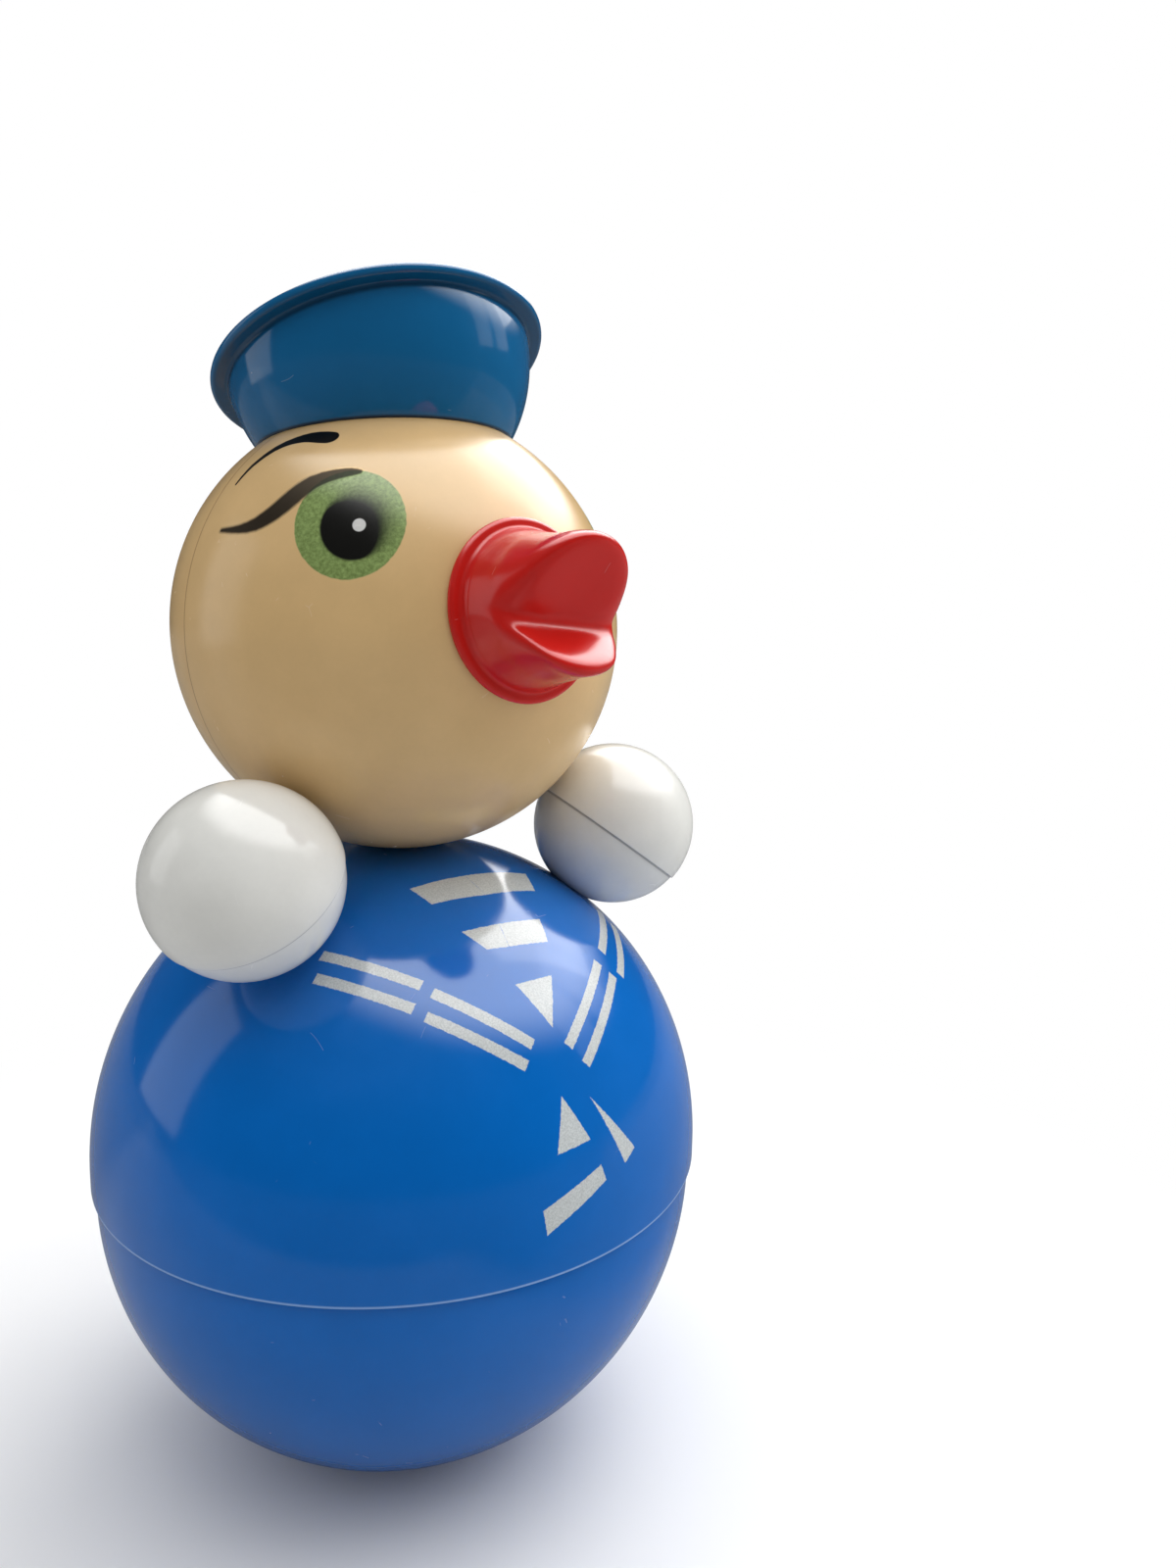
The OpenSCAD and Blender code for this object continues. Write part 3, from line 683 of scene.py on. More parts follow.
def turning_tree():
    """Geometry nodes that turn the points of a profile into a shell."""
    tree = bpy.data.node_groups.new("turned shell", "GeometryNodeTree")
    inputs = {"Profile": "Geometry", "Points": "Int", "Segments": "Int", "Finish": "Material"}
    for name, kind in inputs.items():
        tree.interface.new_socket(name, in_out="INPUT", socket_type="NodeSocket" + kind)
    tree.interface.new_socket("Shell", in_out="OUTPUT", socket_type="NodeSocketGeometry")
    sheet = Sheet(tree)
    given = sheet.node("NodeGroupInput").socket.node.outputs
    profile, points, segments, finish = (Wire(sheet, given[name]) for name in inputs)
    columns = segments + 1
    grid = sheet.node("GeometryNodeMeshGrid", None, {"Vertices X": points, "Vertices Y": columns})
    index = sheet.node("GeometryNodeInputIndex")
    row = index.math("FLOOR", (index + 0.5) / columns)
    column = index - row * columns
    spot = sheet.node("GeometryNodeSampleIndex", {"data_type": "FLOAT_VECTOR", "domain": "POINT"}, {
        "Geometry": profile, "Value": sheet.node("GeometryNodeInputPosition"), "Index": row})
    turned_spot = sheet.node("ShaderNodeVectorRotate", {"rotation_type": "Z_AXIS"}, {
        "Vector": spot, "Angle": column * (2 * math.pi) / segments})
    shell = sheet.node("GeometryNodeSetPosition", None, {"Geometry": grid, "Position": turned_spot})
    shell = sheet.node("GeometryNodeMergeByDistance", None, {"Geometry": shell, "Distance": 1e-6})
    shell = sheet.node("GeometryNodeSetShadeSmooth", None, {"Geometry": shell})
    shell = sheet.node("GeometryNodeRealizeInstances", None, {"Geometry": shell})
    shell = sheet.node("GeometryNodeSetMaterial", None, {"Geometry": shell, "Material": finish})
    tree.links.new(shell.socket, tree.nodes.new("NodeGroupOutput").inputs[0])
    return tree


def settle(piece):
    """Puts what the modifiers make into the piece's own mesh."""
    graph = bpy.context.evaluated_depsgraph_get()
    mesh = bpy.data.meshes.new_from_object(piece.evaluated_get(graph))
    piece.modifiers.clear()
    piece.data = mesh
    mesh.name = piece.name


def face_out(mesh):
    """Normals outward, smooth faces, and sharp edges where two faces meet steeply."""
    work = bmesh.new()
    work.from_mesh(mesh)
    bmesh.ops.recalc_face_normals(work, faces=work.faces)
    for face in work.faces:
        face.smooth = True
    work.to_mesh(mesh)
    work.free()
    mesh.set_sharp_from_angle(angle=SHARP)


def piece_from(name, points, faces, finish=None):
    mesh = bpy.data.meshes.new(name)
    mesh.from_pydata([tuple(p) for p in points], [], faces)
    piece = bpy.data.objects.new(name, mesh)
    scene.collection.objects.link(piece)
    if finish:
        mesh.materials.append(finish)
    return piece


def arc(centre, radius, low, high, gap=FINE):
    """Points along a ball's profile from one height to another, both measured from its centre."""
    a, b = math.asin(max(-1, low / radius)), math.asin(min(1, high / radius))
    n = max(3, int(radius * abs(b - a) / gap) + 1)
    t = np.linspace(a, b, n)
    return np.stack([np.abs(radius * np.cos(t)), centre + radius * np.sin(t)], 1)


def line(*points):
    return np.array(points, float)


def flat_between(outer, inner, height):
    """A flat run between two balls round one centre, at one height above it."""
    return line((math.sqrt(outer ** 2 - height ** 2), height),
                (math.sqrt(inner ** 2 - height ** 2), height))


def bent(start, corner, end, share):
    """A point of the curve that rounds off the corner between two points."""
    return (1 - share) ** 2 * start + 2 * share * (1 - share) * corner + share * share * end


def trimmed(run, start, end):
    """A run of points with the given lengths taken off its two ends."""
    leg = np.r_[0, np.cumsum(np.linalg.norm(np.diff(run, axis=0), axis=1))]
    most = 0.45 * leg[-1]
    start, end = min(start, most), min(end, most)
    keep = (leg > start + 1e-9) & (leg < leg[-1] - end - 1e-9)
    tip = [np.array([np.interp(s, leg, run[:, k]) for k in range(run.shape[1])])
           for s in (start, leg[-1] - end)]
    return np.vstack([tip[0], run[keep], tip[1]])


def eased(runs, ease, closed):
    """Joins runs end to end and rounds each corner between them."""
    count = len(runs)
    joins = count if closed else count - 1
    cut = [trimmed(r, ease if closed or i else 0, ease if i < joins else 0)
           for i, r in enumerate(runs)]
    points = []
    for i, run in enumerate(cut):
        points.extend(run)
        if i < joins:
            a, b, corner = run[-1], cut[(i + 1) % count][0], runs[i][-1]
            for t in (0.2, 0.4, 0.6, 0.8):
                points.append(bent(a, corner, b, t))
    if closed:
        points.append(points[0])
    return np.array(points)


TURNING = turning_tree()


def turned(name, runs, finish=None, place=Matrix(), ease=EDGE_EASE, closed=False,
           segments=SEGMENTS):
    """A piece turned from runs of (radius, height) points, set in its place."""
    profile = eased(runs, ease, closed)
    piece = piece_from(name, [(r * MM, 0, z * MM) for r, z in profile], [])
    lathe = piece.modifiers.new("lathe", "NODES")
    lathe.node_group = TURNING
    named = {s.name: s.identifier for s in TURNING.interface.items_tree if s.in_out == "INPUT"}
    lathe[named["Points"]] = len(profile)
    lathe[named["Segments"]] = segments
    lathe[named["Finish"]] = finish
    settle(piece)
    piece.data.transform(metres(place))
    face_out(piece.data)
    return piece


def metres(place):
    """A place in millimetres as one in metres: the turn is kept and the shift is scaled."""
    made = place.copy()
    made.translation = place.translation * MM
    return made


def rod(radius, low, high, place):
    """A plain cutting tool, used up by carve."""
    return turned("tool", [
        line((0, low), (radius, low)),
        line((radius, low), (radius, high)),
        line((radius, high), (0, high)),
    ], None, place, ease=0, segments=TOOL_SEGMENTS)


def carve(piece, tools):
    """Cuts the tools out of a piece and uses them up."""
    for tool in tools:
        change = piece.modifiers.new("carve", "BOOLEAN")
        change.operation = "DIFFERENCE"
        change.solver = "EXACT"
        change.object = tool
        settle(piece)
        bpy.data.objects.remove(tool)
    piece.data.set_sharp_from_angle(angle=SHARP)
    return piece


def fitted(piece, node):
    """Hands a finished piece over to the frame in place of its solid."""
    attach(piece, "toy")
    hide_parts(node)


def make_body(lower_finish, upper_finish):
    lower_in = LOWER_R - BODY_WALL
    lap_r = UPPER_R - BODY_WALL - FIT_GAP
    tongue = lap_r - LAP_WALL
    low_wall = SEAM_Z - LAP_H - LOWER_Z
    lower = turned("body_lower", [
        line((0, 0), (FOOT_R, 0)),
        arc(LOWER_Z, LOWER_R, -LOWER_Z, 0),
        line((LOWER_R, LOWER_Z), (LOWER_R, SEAM_Z)),
        line((LOWER_R, SEAM_Z), (lap_r, SEAM_Z)),
        line((lap_r, SEAM_Z), (lap_r, SEAM_Z + LAP_H)),
        line((lap_r, SEAM_Z + LAP_H), (tongue, SEAM_Z + LAP_H)),
        line((tongue, SEAM_Z + LAP_H), (tongue, SEAM_Z - LAP_H)),
        line((tongue, SEAM_Z - LAP_H), (math.sqrt(lower_in ** 2 - low_wall ** 2), SEAM_Z - LAP_H)),
        arc(LOWER_Z, lower_in, low_wall, -lower_in, COARSE),
    ], lower_finish)
    fitted(lower, "body_lower_shell")

    upper_in = UPPER_R - BODY_WALL
    collar_z = UPPER_Z + upper_in - COLLAR_T
    seat = HEAD_R + SEAT_GAP
    far = HEAD_Z - UPPER_Z
    dish = (far ** 2 + UPPER_R ** 2 - seat ** 2) / (2 * far)
    hole_r = NECK_R + FIT_GAP
    rim = math.sqrt(seat ** 2 - hole_r ** 2)
    collar_top = math.sqrt(upper_in ** 2 - COLLAR_R ** 2)
    upper = turned("body_upper", [
        line((UPPER_R, SEAM_Z), (UPPER_R, UPPER_Z)),
        arc(UPPER_Z, UPPER_R, 0, dish),
        arc(HEAD_Z, seat, dish - far, -rim),
        line((hole_r, HEAD_Z - rim), (hole_r, collar_z)),
        line((hole_r, collar_z), (COLLAR_R, collar_z)),
        line((COLLAR_R, collar_z), (COLLAR_R, UPPER_Z + collar_top)),
        arc(UPPER_Z, upper_in, collar_top, 0, COARSE),
        line((upper_in, UPPER_Z), (upper_in, SEAM_Z)),
        line((upper_in, SEAM_Z), (UPPER_R, SEAM_Z)),
    ], upper_finish, closed=True)
    reach = (upper_in / 2 - ARM_FAR, upper_in * 1.5 - ARM_FAR)
    carve(upper, [rod(ARM_PEG_R + FIT_GAP, *reach, at) for at in (AT_LEFT_ARM, AT_RIGHT_ARM)])
    fitted(upper, "body_upper_shell")


def head_holes():
    """Tools for the holes of neck, bill and cap, in that order."""
    low, high = HEAD_IN / 2, HEAD_IN * 1.5
    return [
        rod(NECK_R + FIT_GAP, -HEAD_R - PAST, -PAST, AT_HEAD),
        rod(BILL_PLUG_R + FIT_GAP, low, high, AT_BILL),
        rod(CAP_PEG_R + FIT_GAP, low, high, AT_CAP_SEAT),
    ]


def make_head(finish):
    lap_out = HEAD_R - HEAD_SKIN
    lap_in = lap_out - FIT_GAP
    lap_front = HEAD_LAP - HEAD_SEAM
    lap_end = lap_front - FIT_GAP
    front = turned("head_front", [
        arc(0, HEAD_R, HEAD_R, -HEAD_SEAM),
        flat_between(HEAD_R, lap_out, -HEAD_SEAM),
        arc(0, lap_out, -HEAD_SEAM, lap_front),
        flat_between(lap_out, HEAD_IN, lap_front),
        arc(0, HEAD_IN, lap_front, HEAD_IN, COARSE),
    ], finish, AT_FACE, ease=SEAM_EASE)
    fitted(carve(front, head_holes()), "head_front_shell")
    rear = turned("head_rear", [
        arc(0, HEAD_R, -HEAD_R, -HEAD_SEAM),
        flat_between(HEAD_R, lap_in, -HEAD_SEAM),
        arc(0, lap_in, -HEAD_SEAM, lap_end),
        flat_between(lap_in, HEAD_IN, lap_end),
        arc(0, HEAD_IN, lap_end, -HEAD_IN, COARSE),
    ], finish, AT_FACE, ease=SEAM_EASE)
    neck, bill, cap = head_holes()
    bpy.data.objects.remove(bill)
    fitted(carve(rear, [neck, cap]), "head_rear_shell")


def make_arms(finish):
    inner_r = ARM_R - ARM_STEP
    outer_in = ARM_R - ARM_WALL
    lap_r = outer_in - FIT_GAP
    hollow = lap_r - ARM_LAP_WALL
    lap_top = ARM_LAP - ARM_SEAM
    seat = UPPER_R + SEAT_GAP
    dish = -(ARM_FAR ** 2 + inner_r ** 2 - seat ** 2) / (2 * ARM_FAR)
    peg_top = math.sqrt(seat ** 2 - ARM_PEG_R ** 2)
    peg_end = UPPER_R - BODY_WALL - ARM_PEG_END - ARM_FAR
    for side, at in (("left", AT_LEFT_ARM), ("right", AT_RIGHT_ARM)):
        outer = turned(side + "_arm_cap", [
            arc(0, ARM_R, ARM_R, -ARM_SEAM, FINE / 2),
            flat_between(ARM_R, outer_in, -ARM_SEAM),
            arc(0, outer_in, -ARM_SEAM, outer_in, COARSE / 2),
        ], finish, at, segments=ARM_SEGMENTS)
        fitted(outer, side + "_arm_outer")
        inner = turned(side + "_arm_base", [
            line((0, peg_end), (ARM_PEG_R, peg_end)),
            line((ARM_PEG_R, peg_end), (ARM_PEG_R, peg_top - ARM_FAR)),
            arc(-ARM_FAR, seat, peg_top, dish + ARM_FAR),
            arc(0, inner_r, dish, -ARM_SEAM, FINE / 2),
            flat_between(inner_r, lap_r, -ARM_SEAM),
            arc(0, lap_r, -ARM_SEAM, lap_top),
            flat_between(lap_r, hollow, lap_top),
            arc(0, hollow, lap_top, -hollow, COARSE / 2),
        ], finish, at, ease=ARM_EASE, segments=ARM_SEGMENTS)
        fitted(inner, side + "_arm_inner")


# Lofted pieces: rows of points, each row once round

def loft(name, rows, finish, place):
    """A closed skin over rows of points; the first and last rows are single points, its poles."""
    count = len(rows[0])
    points = [rows[0][0]]
    for row in rows[1:-1]:
        points.extend(row)
    points.append(rows[-1][0])
    last = len(points) - 1
    faces = []
    for c in range(count):
        d = (c + 1) % count
        faces.append((0, 1 + c, 1 + d))
        faces.append((last, last - count + d, last - count + c))
        for r in range(len(rows) - 3):
            a = 1 + r * count
            faces.append((a + c, a + count + c, a + count + d, a + d))
    piece = piece_from(name, np.array(points) * MM, faces, finish)
    piece.data.transform(metres(place))
    face_out(piece.data)
    return piece


def make_cap(finish):
    cap_in = CAP_R - CAP_WALL
    edge = cap_in - FIT_GAP
    dome = (edge ** 2 + CROWN_RISE ** 2) / (2 * CROWN_RISE)
    ledge_r = edge - LEDGE_W
    ledge_z = math.sqrt(dome ** 2 - ledge_r ** 2)
    low_edge = math.sqrt(edge ** 2 - CROWN_T ** 2)
    under = CROWN_RISE - dome - CROWN_T
    top = turned("cap_crown", [
        arc(CROWN_RISE - dome, dome, dome, dome - CROWN_RISE),
        line((edge, 0), (low_edge, -CROWN_T)),
        line((low_edge, -CROWN_T), (ledge_r, -CROWN_T)),
        line((ledge_r, -CROWN_T), (ledge_r, under + ledge_z)),
        arc(under, dome, ledge_z, dome, COARSE),
    ], finish, AT_CAP, ease=CROWN_EASE)
    fitted(top, "cap_top")

    phi = np.linspace(0, 2 * math.pi, SEGMENTS, endpoint=False)
    round_x, round_y = np.cos(phi), np.sin(phi)
    lean = math.radians(CAP_LEAN - CAP_TILT)
    seat_up = np.array([0, math.sin(lean), math.cos(lean)])
    head = -CAP_RISE * seat_up
    across = np.array([1.0, 0, 0])
    along = np.cross(seat_up, across)

    def level(r, z):
        return np.stack([r * round_x, r * round_y, np.full(SEGMENTS, z)], 1)

    def meeting(ball, seat):
        """How far under the cap's middle one of its balls meets the seat's ball."""
        return (CAP_RISE ** 2 + ball ** 2 - seat ** 2) / (2 * CAP_RISE)

    def foot_radius(ball, seat):
        return math.sqrt(ball ** 2 - meeting(ball, seat) ** 2)

    def wall_end(ball, seat):
        """Angle below the rim at which each meridian of a ball meets the seat's ball."""
        cos_end = meeting(ball, seat) / ball
        a = -(round_x * seat_up[0] + round_y * seat_up[1])
        b = seat_up[2]
        return np.arctan2(b, a) - np.arccos(cos_end / np.hypot(a, b))

    def wall(ball, angle):
        return np.stack([ball * np.cos(angle) * round_x, ball * np.cos(angle) * round_y,
                         -ball * np.sin(angle)], 1)

    seat_r = HEAD_R + SEAT_GAP
    outer_end = wall_end(CAP_R, seat_r)
    foot = wall(CAP_R, outer_end) - head
    turn = np.arctan2(foot @ along, foot @ across)
    spoke = np.cos(turn)[:, None] * across + np.sin(turn)[:, None] * along

    def seat_ring(r, h):
        return head + r * spoke + h * seat_up

    def seat_ball(ball, r):
        return seat_ring(r, math.sqrt(ball ** 2 - r ** 2))

    rim_r = CAP_R + RIM_W
    bead = RIM_T / 2
    outer_start = math.asin((RIM_T + CAP_FILLET) / CAP_R)
    top_run = eased([
        line((math.sqrt(cap_in ** 2 - CROWN_T ** 2), -CROWN_T), (cap_in, 0)),
        line((cap_in, 0), (rim_r - bead, 0)),
    ], CAP_EASE, False).tolist()
    rim_run = [(rim_r - bead + bead * math.cos(a), -bead + bead * math.sin(a))
               for a in np.linspace(math.pi / 2, -math.pi / 2, 13)]
    root = np.array([CAP_R * math.cos(outer_start), -RIM_T - CAP_FILLET])
    corner = np.array([math.sqrt(CAP_R ** 2 - RIM_T ** 2), -RIM_T])
    under_rim = corner + (CAP_FILLET, 0)
    fillet_run = [bent(under_rim, corner, root, t) for t in np.linspace(0, 1, 6)]

    peg_low = HEAD_IN - CAP_PEG_LEN
    peg_hole = CAP_PEG_R - CAP_WALL
    hole_top = HEAD_R
    floor_r = seat_r + CAP_WALL
    inner_end = wall_end(cap_in, floor_r)
    inner_foot = foot_radius(cap_in, floor_r)
    outer_foot = foot_radius(CAP_R, seat_r)
    ledge_low = -CROWN_T - LEDGE_T
    inner_start = math.asin(-ledge_low / cap_in)

    rows = [seat_ring(0, floor_r)]
    rows += [seat_ball(floor_r, r) for r in np.linspace(2, inner_foot, 10)]
    rows += [wall(cap_in, inner_end + (inner_start - inner_end) * s)
             for s in np.linspace(0, 1, 14)[1:]]
    rows += [level(ledge_r, ledge_low), level(ledge_r, -CROWN_T)]
    rows += [level(r, z) for r, z in top_run + rim_run + fillet_run]
    rows += [wall(CAP_R, outer_start + (outer_end - outer_start) * s)
             for s in np.linspace(0, 1, 44)[1:]]
    rows += [seat_ball(seat_r, r) for r in np.linspace(outer_foot - CAP_EASE, CAP_PEG_R, 8)]
    rows += [seat_ring(CAP_PEG_R, peg_low), seat_ring(peg_hole, peg_low)]
    rows += [seat_ring(peg_hole, hole_top), seat_ring(0, hole_top)]
    bowl = loft("cap_bowl_round", rows, finish, AT_CAP)
    fitted(bowl, "cap_bowl")


# Bill: rays from a point inside it find its skin

def smooth_most(a, b, width):
    """The larger of two fields, with a softly rounded corner where they meet."""
    near = np.maximum(1 - np.abs(a - b) / (1.5 * width), 0)
    return np.maximum(a, b) + near ** 3 * width / 4


def smooth_least(a, b, width):
    return -smooth_most(-a, -b, width)


def rise(value, low, high):
    """0 below low, 1 above high, and a smooth rise between."""
    share = np.clip((value - low) / (high - low), 0, 1)
    return share * share * (3 - 2 * share)


def drum_radius(t):
    """The drum narrows from the flange towards the lips, fuller than a plain hollow sweep."""
    sweep_w = DRUM_BASE_R - DRUM_TIP_R
    sweep_r = (sweep_w ** 2 + DRUM_TAPER ** 2) / (2 * sweep_w)
    back = np.clip(FLANGE_T + DRUM_TAPER - t, 0, DRUM_TAPER)
    share = np.clip((t - FLANGE_T) / (2 * DRUM_TAPER), 0, 1)
    # The hump is 1 at its highest, a third of the way along
    hump = 27 / 4 * share * (1 - share) ** 2
    sweep = DRUM_TIP_R + sweep_r - np.sqrt(sweep_r ** 2 - back ** 2)
    return sweep + LIP_SWELL * share + DRUM_FULL * hump


def bill_field(u, v, t):
    """Below 0 inside the bill; u across, v up and t forward from the seat."""
    lips = rise(t, FLANGE_T, MOUTH_DEPTH)
    tall = (LIP_TALL - 1) * rise(v, -DISH_R, DISH_R)
    r = np.hypot(u / (1 + (LIP_WIDE - 1) * lips), v / (1 + tall * lips))
    reach = np.where(v > -MOUTH_DROP, UPPER_LIP, LOWER_LIP) + LIP_SWELL
    side = r - drum_radius(t) + LIP_ROUND
    end = t - reach + LIP_ROUND
    outside = np.hypot(np.maximum(side, 0), np.maximum(end, 0))
    skin = outside + np.minimum(np.maximum(side, end), 0) - LIP_ROUND
    up, down = math.radians(MOUTH_UP), math.radians(MOUTH_DOWN)
    x, y = t - MOUTH_DEPTH, v + MOUTH_DROP
    off_dish = np.hypot(u, x * math.cos(up) + y * math.sin(up) - DISH_AT) / (DISH_R + DISH_EASE)
    dish = DISH_DEPTH * np.clip(1 - off_dish ** 2, 0, 1) ** 1.5
    roof = x * math.sin(up) - y * math.cos(up) + dish
    floor = x * math.sin(down) + (y + MOUTH_STRIP) * math.cos(down)
    mouth = smooth_least(smooth_least(roof, x, STRIP_EASE), floor, CREASE_EASE)
    rim = LOWER_RIM + (UPPER_RIM - LOWER_RIM) * rise(y, -2 * MOUTH_STRIP, MOUTH_STRIP)
    return smooth_most(skin, mouth, rim)


def make_bill(finish):
    phi = np.linspace(0, 2 * math.pi, BILL_COLUMNS, endpoint=False)
    ring_u, ring_v = np.cos(phi), np.sin(phi)

    def ring(r, t):
        return np.stack([r * ring_u, r * ring_v, np.full(BILL_COLUMNS, BILL_SEAT + t)], 1)

    theta = np.linspace(math.pi / 2, 0, BILL_RAYS)[:, None]
    low = np.zeros((BILL_RAYS, BILL_COLUMNS))
    high = np.full_like(low, RAY_END)
    for _ in range(RAY_HALVINGS):
        middle = (low + high) / 2
        out, ahead = middle * np.sin(theta), RAY_START + middle * np.cos(theta)
        inside = bill_field(out * ring_u, out * ring_v, ahead) < 0
        low, high = np.where(inside, middle, low), np.where(inside, high, middle)
    out, ahead = low * np.sin(theta), RAY_START + low * np.cos(theta)
    skin = np.stack([out * ring_u, out * ring_v, BILL_SEAT + ahead], 2)
    # Each column is divided again by length, closer where the skin bends
    leg = np.linalg.norm(np.diff(skin, axis=0), axis=2)
    heading = np.diff(skin, axis=0) / np.maximum(leg, 1e-9)[..., None]
    bend = np.zeros_like(leg)
    bend[1:] = np.linalg.norm(np.diff(heading, axis=0), axis=2)
    kernel = np.ones(BEND_ALONG) / BEND_ALONG
    bend = np.apply_along_axis(lambda c: np.convolve(c, kernel, mode="same"), 0, bend)
    beside = range(-BEND_ASIDE, BEND_ASIDE + 1)
    bend = sum(np.roll(bend, k, axis=1) for k in beside) / len(beside)
    travel = np.vstack([np.zeros(BILL_COLUMNS), np.cumsum(leg + BEND_WEIGHT * bend, axis=0)])
    divided = np.zeros((BILL_ROWS, BILL_COLUMNS, 3))
    for c in range(BILL_COLUMNS):
        want = np.linspace(0, travel[-1, c], BILL_ROWS)
        for k in range(3):
            divided[:, c, k] = np.interp(want, travel[:, c], skin[:, c, k])
    divided[-1] = divided[-1].mean(0)

    seat_r = HEAD_R + SEAT_GAP
    edge = FLANGE_T / 2
    flange = [(FLANGE_R - edge + edge * math.cos(a), edge + edge * math.sin(a))
              for a in np.linspace(-math.pi / 2, math.pi / 2, 15)]
    root_t = FLANGE_T + ROOT_RISE
    root = np.array([drum_radius(root_t), root_t])
    corner = np.array([drum_radius(FLANGE_T), FLANGE_T])
    flare = corner + (ROOT_WIDE, 0)
    fillet = [bent(flare, corner, root, s) for s in np.linspace(0, 1, 6)]
    neck = [(drum_radius(t), t) for t in np.linspace(root_t, RAY_START, 8)[1:-1]]
    plug_low = HEAD_IN - BILL_PLUG_LEN - BILL_SEAT
    hole = BILL_PLUG_R - BILL_WALL
    hole_top = MOUTH_DEPTH - BILL_WALL

    def on_head(r):
        return ring(r, math.sqrt(seat_r ** 2 - r ** 2) - BILL_SEAT)

    rows = [ring(0, hole_top), ring(hole, hole_top)]
    rows += [ring(hole, plug_low), ring(BILL_PLUG_R, plug_low)]
    rows += [on_head(r) for r in np.linspace(BILL_PLUG_R, FLANGE_R - edge - 0.4, 5)]
    rows += [ring(r, t) for r, t in flange[1:] + fillet + neck]
    rows += list(divided)
    bill = loft("bill", rows, finish, AT_BILL)
    fitted(bill, "beak")


# Room: a pale floor in a dim room with a bright ceiling. Gloss and soft light see different
# strengths of both, and the camera sees white
WORLD_UP = Vector((0, 0, 1))
DIM_MIRRORED, CEILING_MIRRORED = 0.05, 5.4
DIM_SOFT, CEILING_SOFT = 0.07, 1.1
FLOOR_HALF = 4000
FLOOR_SEEN, FLOOR_MIRRORED, FLOOR_SOFT = 0.88, 0.38, 0.6
FRONT_SHADE, EDGE_SHADE = 0.14, 0.2

# Lamps, in metres: name, place, aim, width, height, watts, and whether gloss mirrors it
LAMPS = (
    ("top", (0.05, -0.45, 1.30), (0, 0, 0.2), 1.0, 1.0, 3.7, False),
    ("side", (0.84, -0.48, 0.46), (0, 0, 0.15), 0.9, 0.9, 3.3, False),
    ("left", (-0.79, 0.62, 0.45), (0, 0, 0.2), 0.5, 0.7, 1.0, True),
    ("key", (0.75, 0.20, 0.98), (0, 0, 0.2), 1.0, 0.8, 5.0, True),
    ("pane", (0.72, -0.53, 0.69), (0, 0, 0.25), 0.24, 0.5, 0.32, True),
    ("pane", (0.86, -0.27, 0.69), (0, 0, 0.25), 0.24, 0.5, 0.32, True),
)


def light_path(sheet):
    """Whether a ray comes from the camera, and whether it comes from a gloss."""
    path = sheet.node("ShaderNodeLightPath").socket.node.outputs
    return Wire(sheet, path["Is Camera Ray"]), Wire(sheet, path["Is Glossy Ray"])


def make_world(ahead, aside):
    world = bpy.data.worlds.new("studio")
    world.use_nodes = True
    scene.world = world
    room = Sheet(world.node_tree)
    towards = room.node("ShaderNodeTexCoord", out="Generated")
    up, depth, beside = (room.dot(towards, axis) for axis in (WORLD_UP, ahead, aside))
    seen, glossy = light_path(room)
    mirrored = DIM_MIRRORED + (up + depth * 0.3 + beside * 0.25).step(0.65, 0.9) * CEILING_MIRRORED
    soft = DIM_SOFT + up.step(0.3, 0.9) * CEILING_SOFT
    glow = glossy * mirrored + (1 - glossy) * soft
    background = next(n for n in world.node_tree.nodes if n.type == "BACKGROUND")
    background.inputs["Color"].default_value = colour(1, 1, 1)
    room.tree.links.new((seen + (1 - seen) * glow).socket, background.inputs["Strength"])


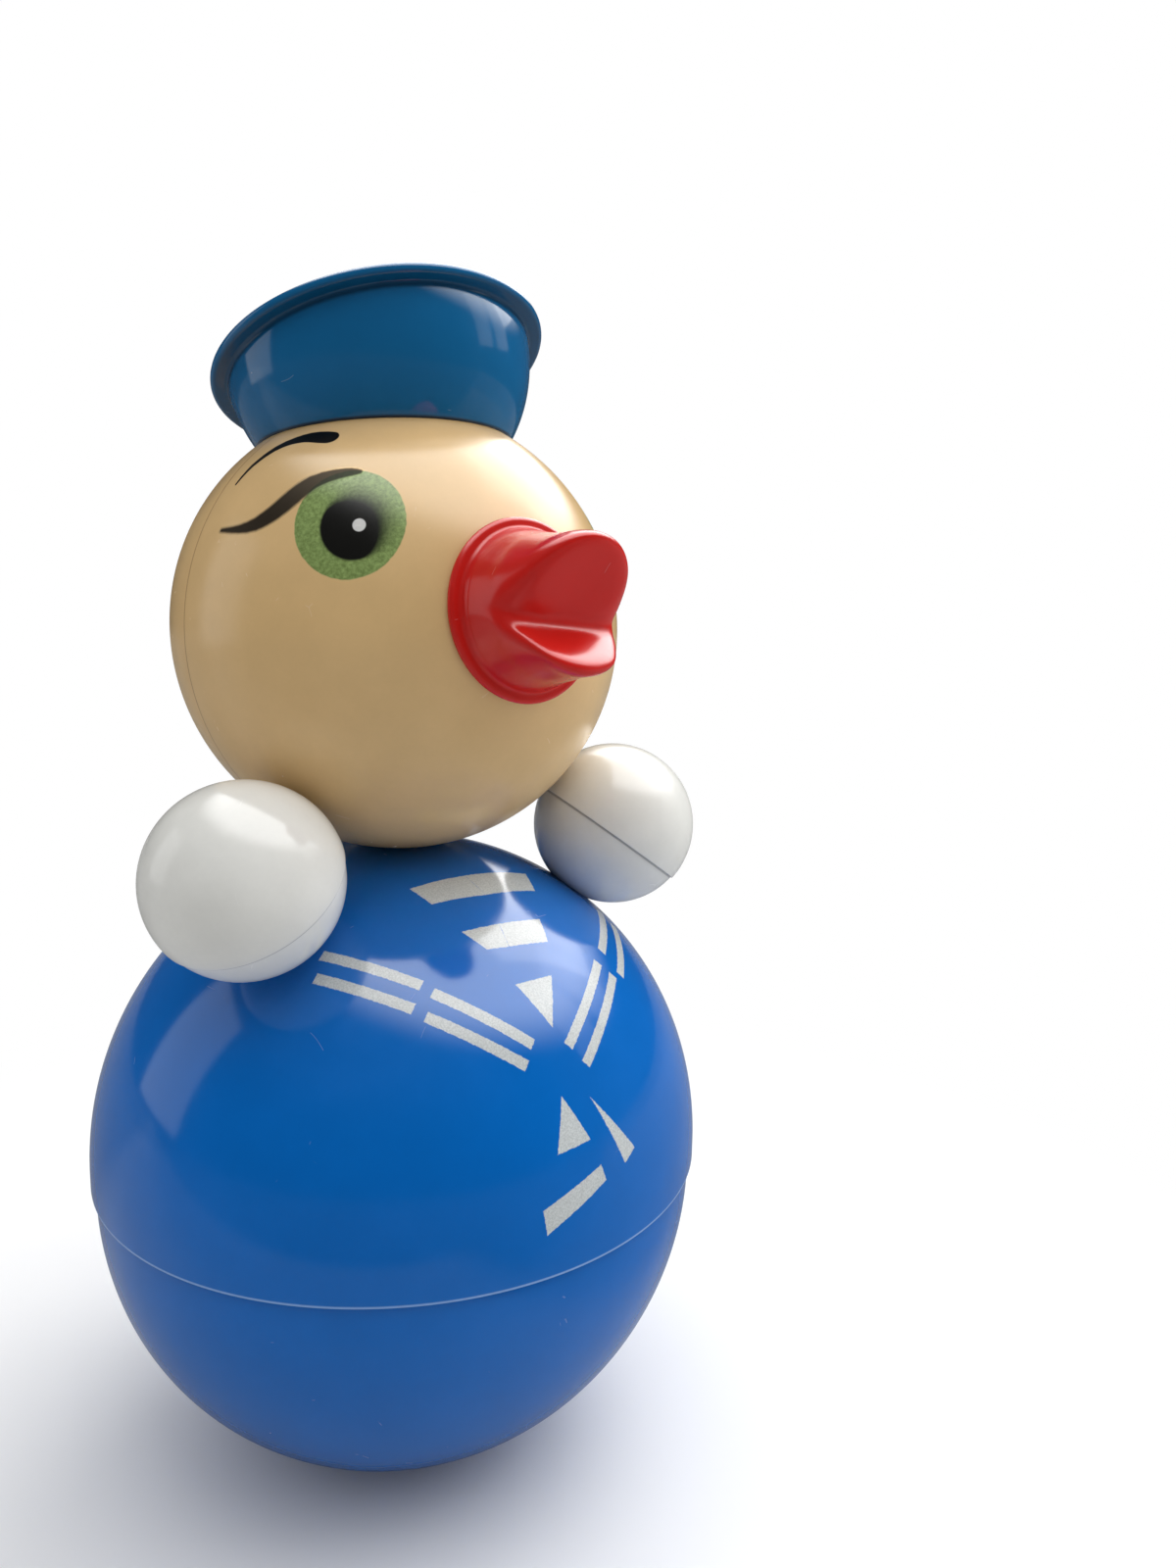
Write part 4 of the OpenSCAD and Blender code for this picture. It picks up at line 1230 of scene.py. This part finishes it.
def make_floor(ahead, aside):
    half = FLOOR_HALF * MM
    corners = [(-half, -half, 0), (half, -half, 0), (half, half, 0), (-half, half, 0)]
    floor = piece_from("floor", corners, [(0, 1, 2, 3)])
    pale = Finish("pale floor")
    flat = pale.vector("MULTIPLY", pale.place(), (1, 1, 0))
    far = pale.vector("LENGTH", flat, out=1)
    front = 0 - pale.dot(flat, ahead)
    beside = pale.dot(flat, aside)
    seen, glossy = light_path(pale)
    # Gloss sees the floor darker before the toy, and darker still well away from it
    edge = front.step(240.0, 290.0).most(beside.step(90.0, 160.0)).most((0 - front).step(0.0, 90.0))
    shade = FLOOR_MIRRORED - front.step(60.0, 180.0) * FRONT_SHADE - edge * EDGE_SHADE
    tone = seen * FLOOR_SEEN + glossy * shade + (1 - seen) * (1 - glossy) * FLOOR_SOFT
    grey = pale.node("ShaderNodeCombineColor", None, {0: tone, 1: tone, 2: tone})
    pale.set(Base_Color=grey, Roughness=0.9)
    # To the camera it fades into the white round the toy and its shadow
    blank = pale.node("ShaderNodeEmission", None, {"Strength": 1.0})
    blend = pale.node("ShaderNodeMixShader", None, {
        0: far.step(110.0, 300.0) * seen, 1: Wire(pale, pale.shader.outputs[0]), 2: blank})
    output = next(n for n in pale.tree.nodes if n.type == "OUTPUT_MATERIAL")
    pale.tree.links.new(blend.socket, output.inputs["Surface"])
    floor.data.materials.append(pale.material)


def hang_lamps():
    for name, at, target, width, height, watts, mirrored in LAMPS:
        data = bpy.data.lights.new(name, "AREA")
        data.shape = "RECTANGLE"
        data.size, data.size_y, data.energy = width, height, watts
        lamp = bpy.data.objects.new(name, data)
        lamp.visible_glossy = mirrored
        lamp.location = at
        lamp.rotation_euler = (Vector(at) - Vector(target)).to_track_quat("Z", "Y").to_euler()
        scene.collection.objects.link(lamp)


def make_room(forward):
    ahead = Vector((forward.x, forward.y, 0)).normalized()
    aside = ahead.cross(WORLD_UP)
    make_world(ahead, aside)
    make_floor(ahead, aside)
    hang_lamps()


forward = set_camera()
make_body(blue_gloss(), blue_with_sailor_marks())
make_head(cream_with_eyes())
make_arms(white_gloss())
make_cap(teal_gloss())
make_bill(red_gloss())

INNER = (
    (cast_iron(), ("ballast_weight",)),
    (plain_moulding(), ("chime_base", "chime_bridge", "hanger_link", "neck_plug", "neck_ring")),
    (drawn_steel(), ("chime_screws", "chime_rods", "hanger_pin", "striker", "striker_pin")),
)
for finish, names in INNER:
    for name in names:
        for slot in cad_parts[name].material_slots:
            slot.material = finish

make_room(forward)
scene.view_settings.view_transform = "Standard"
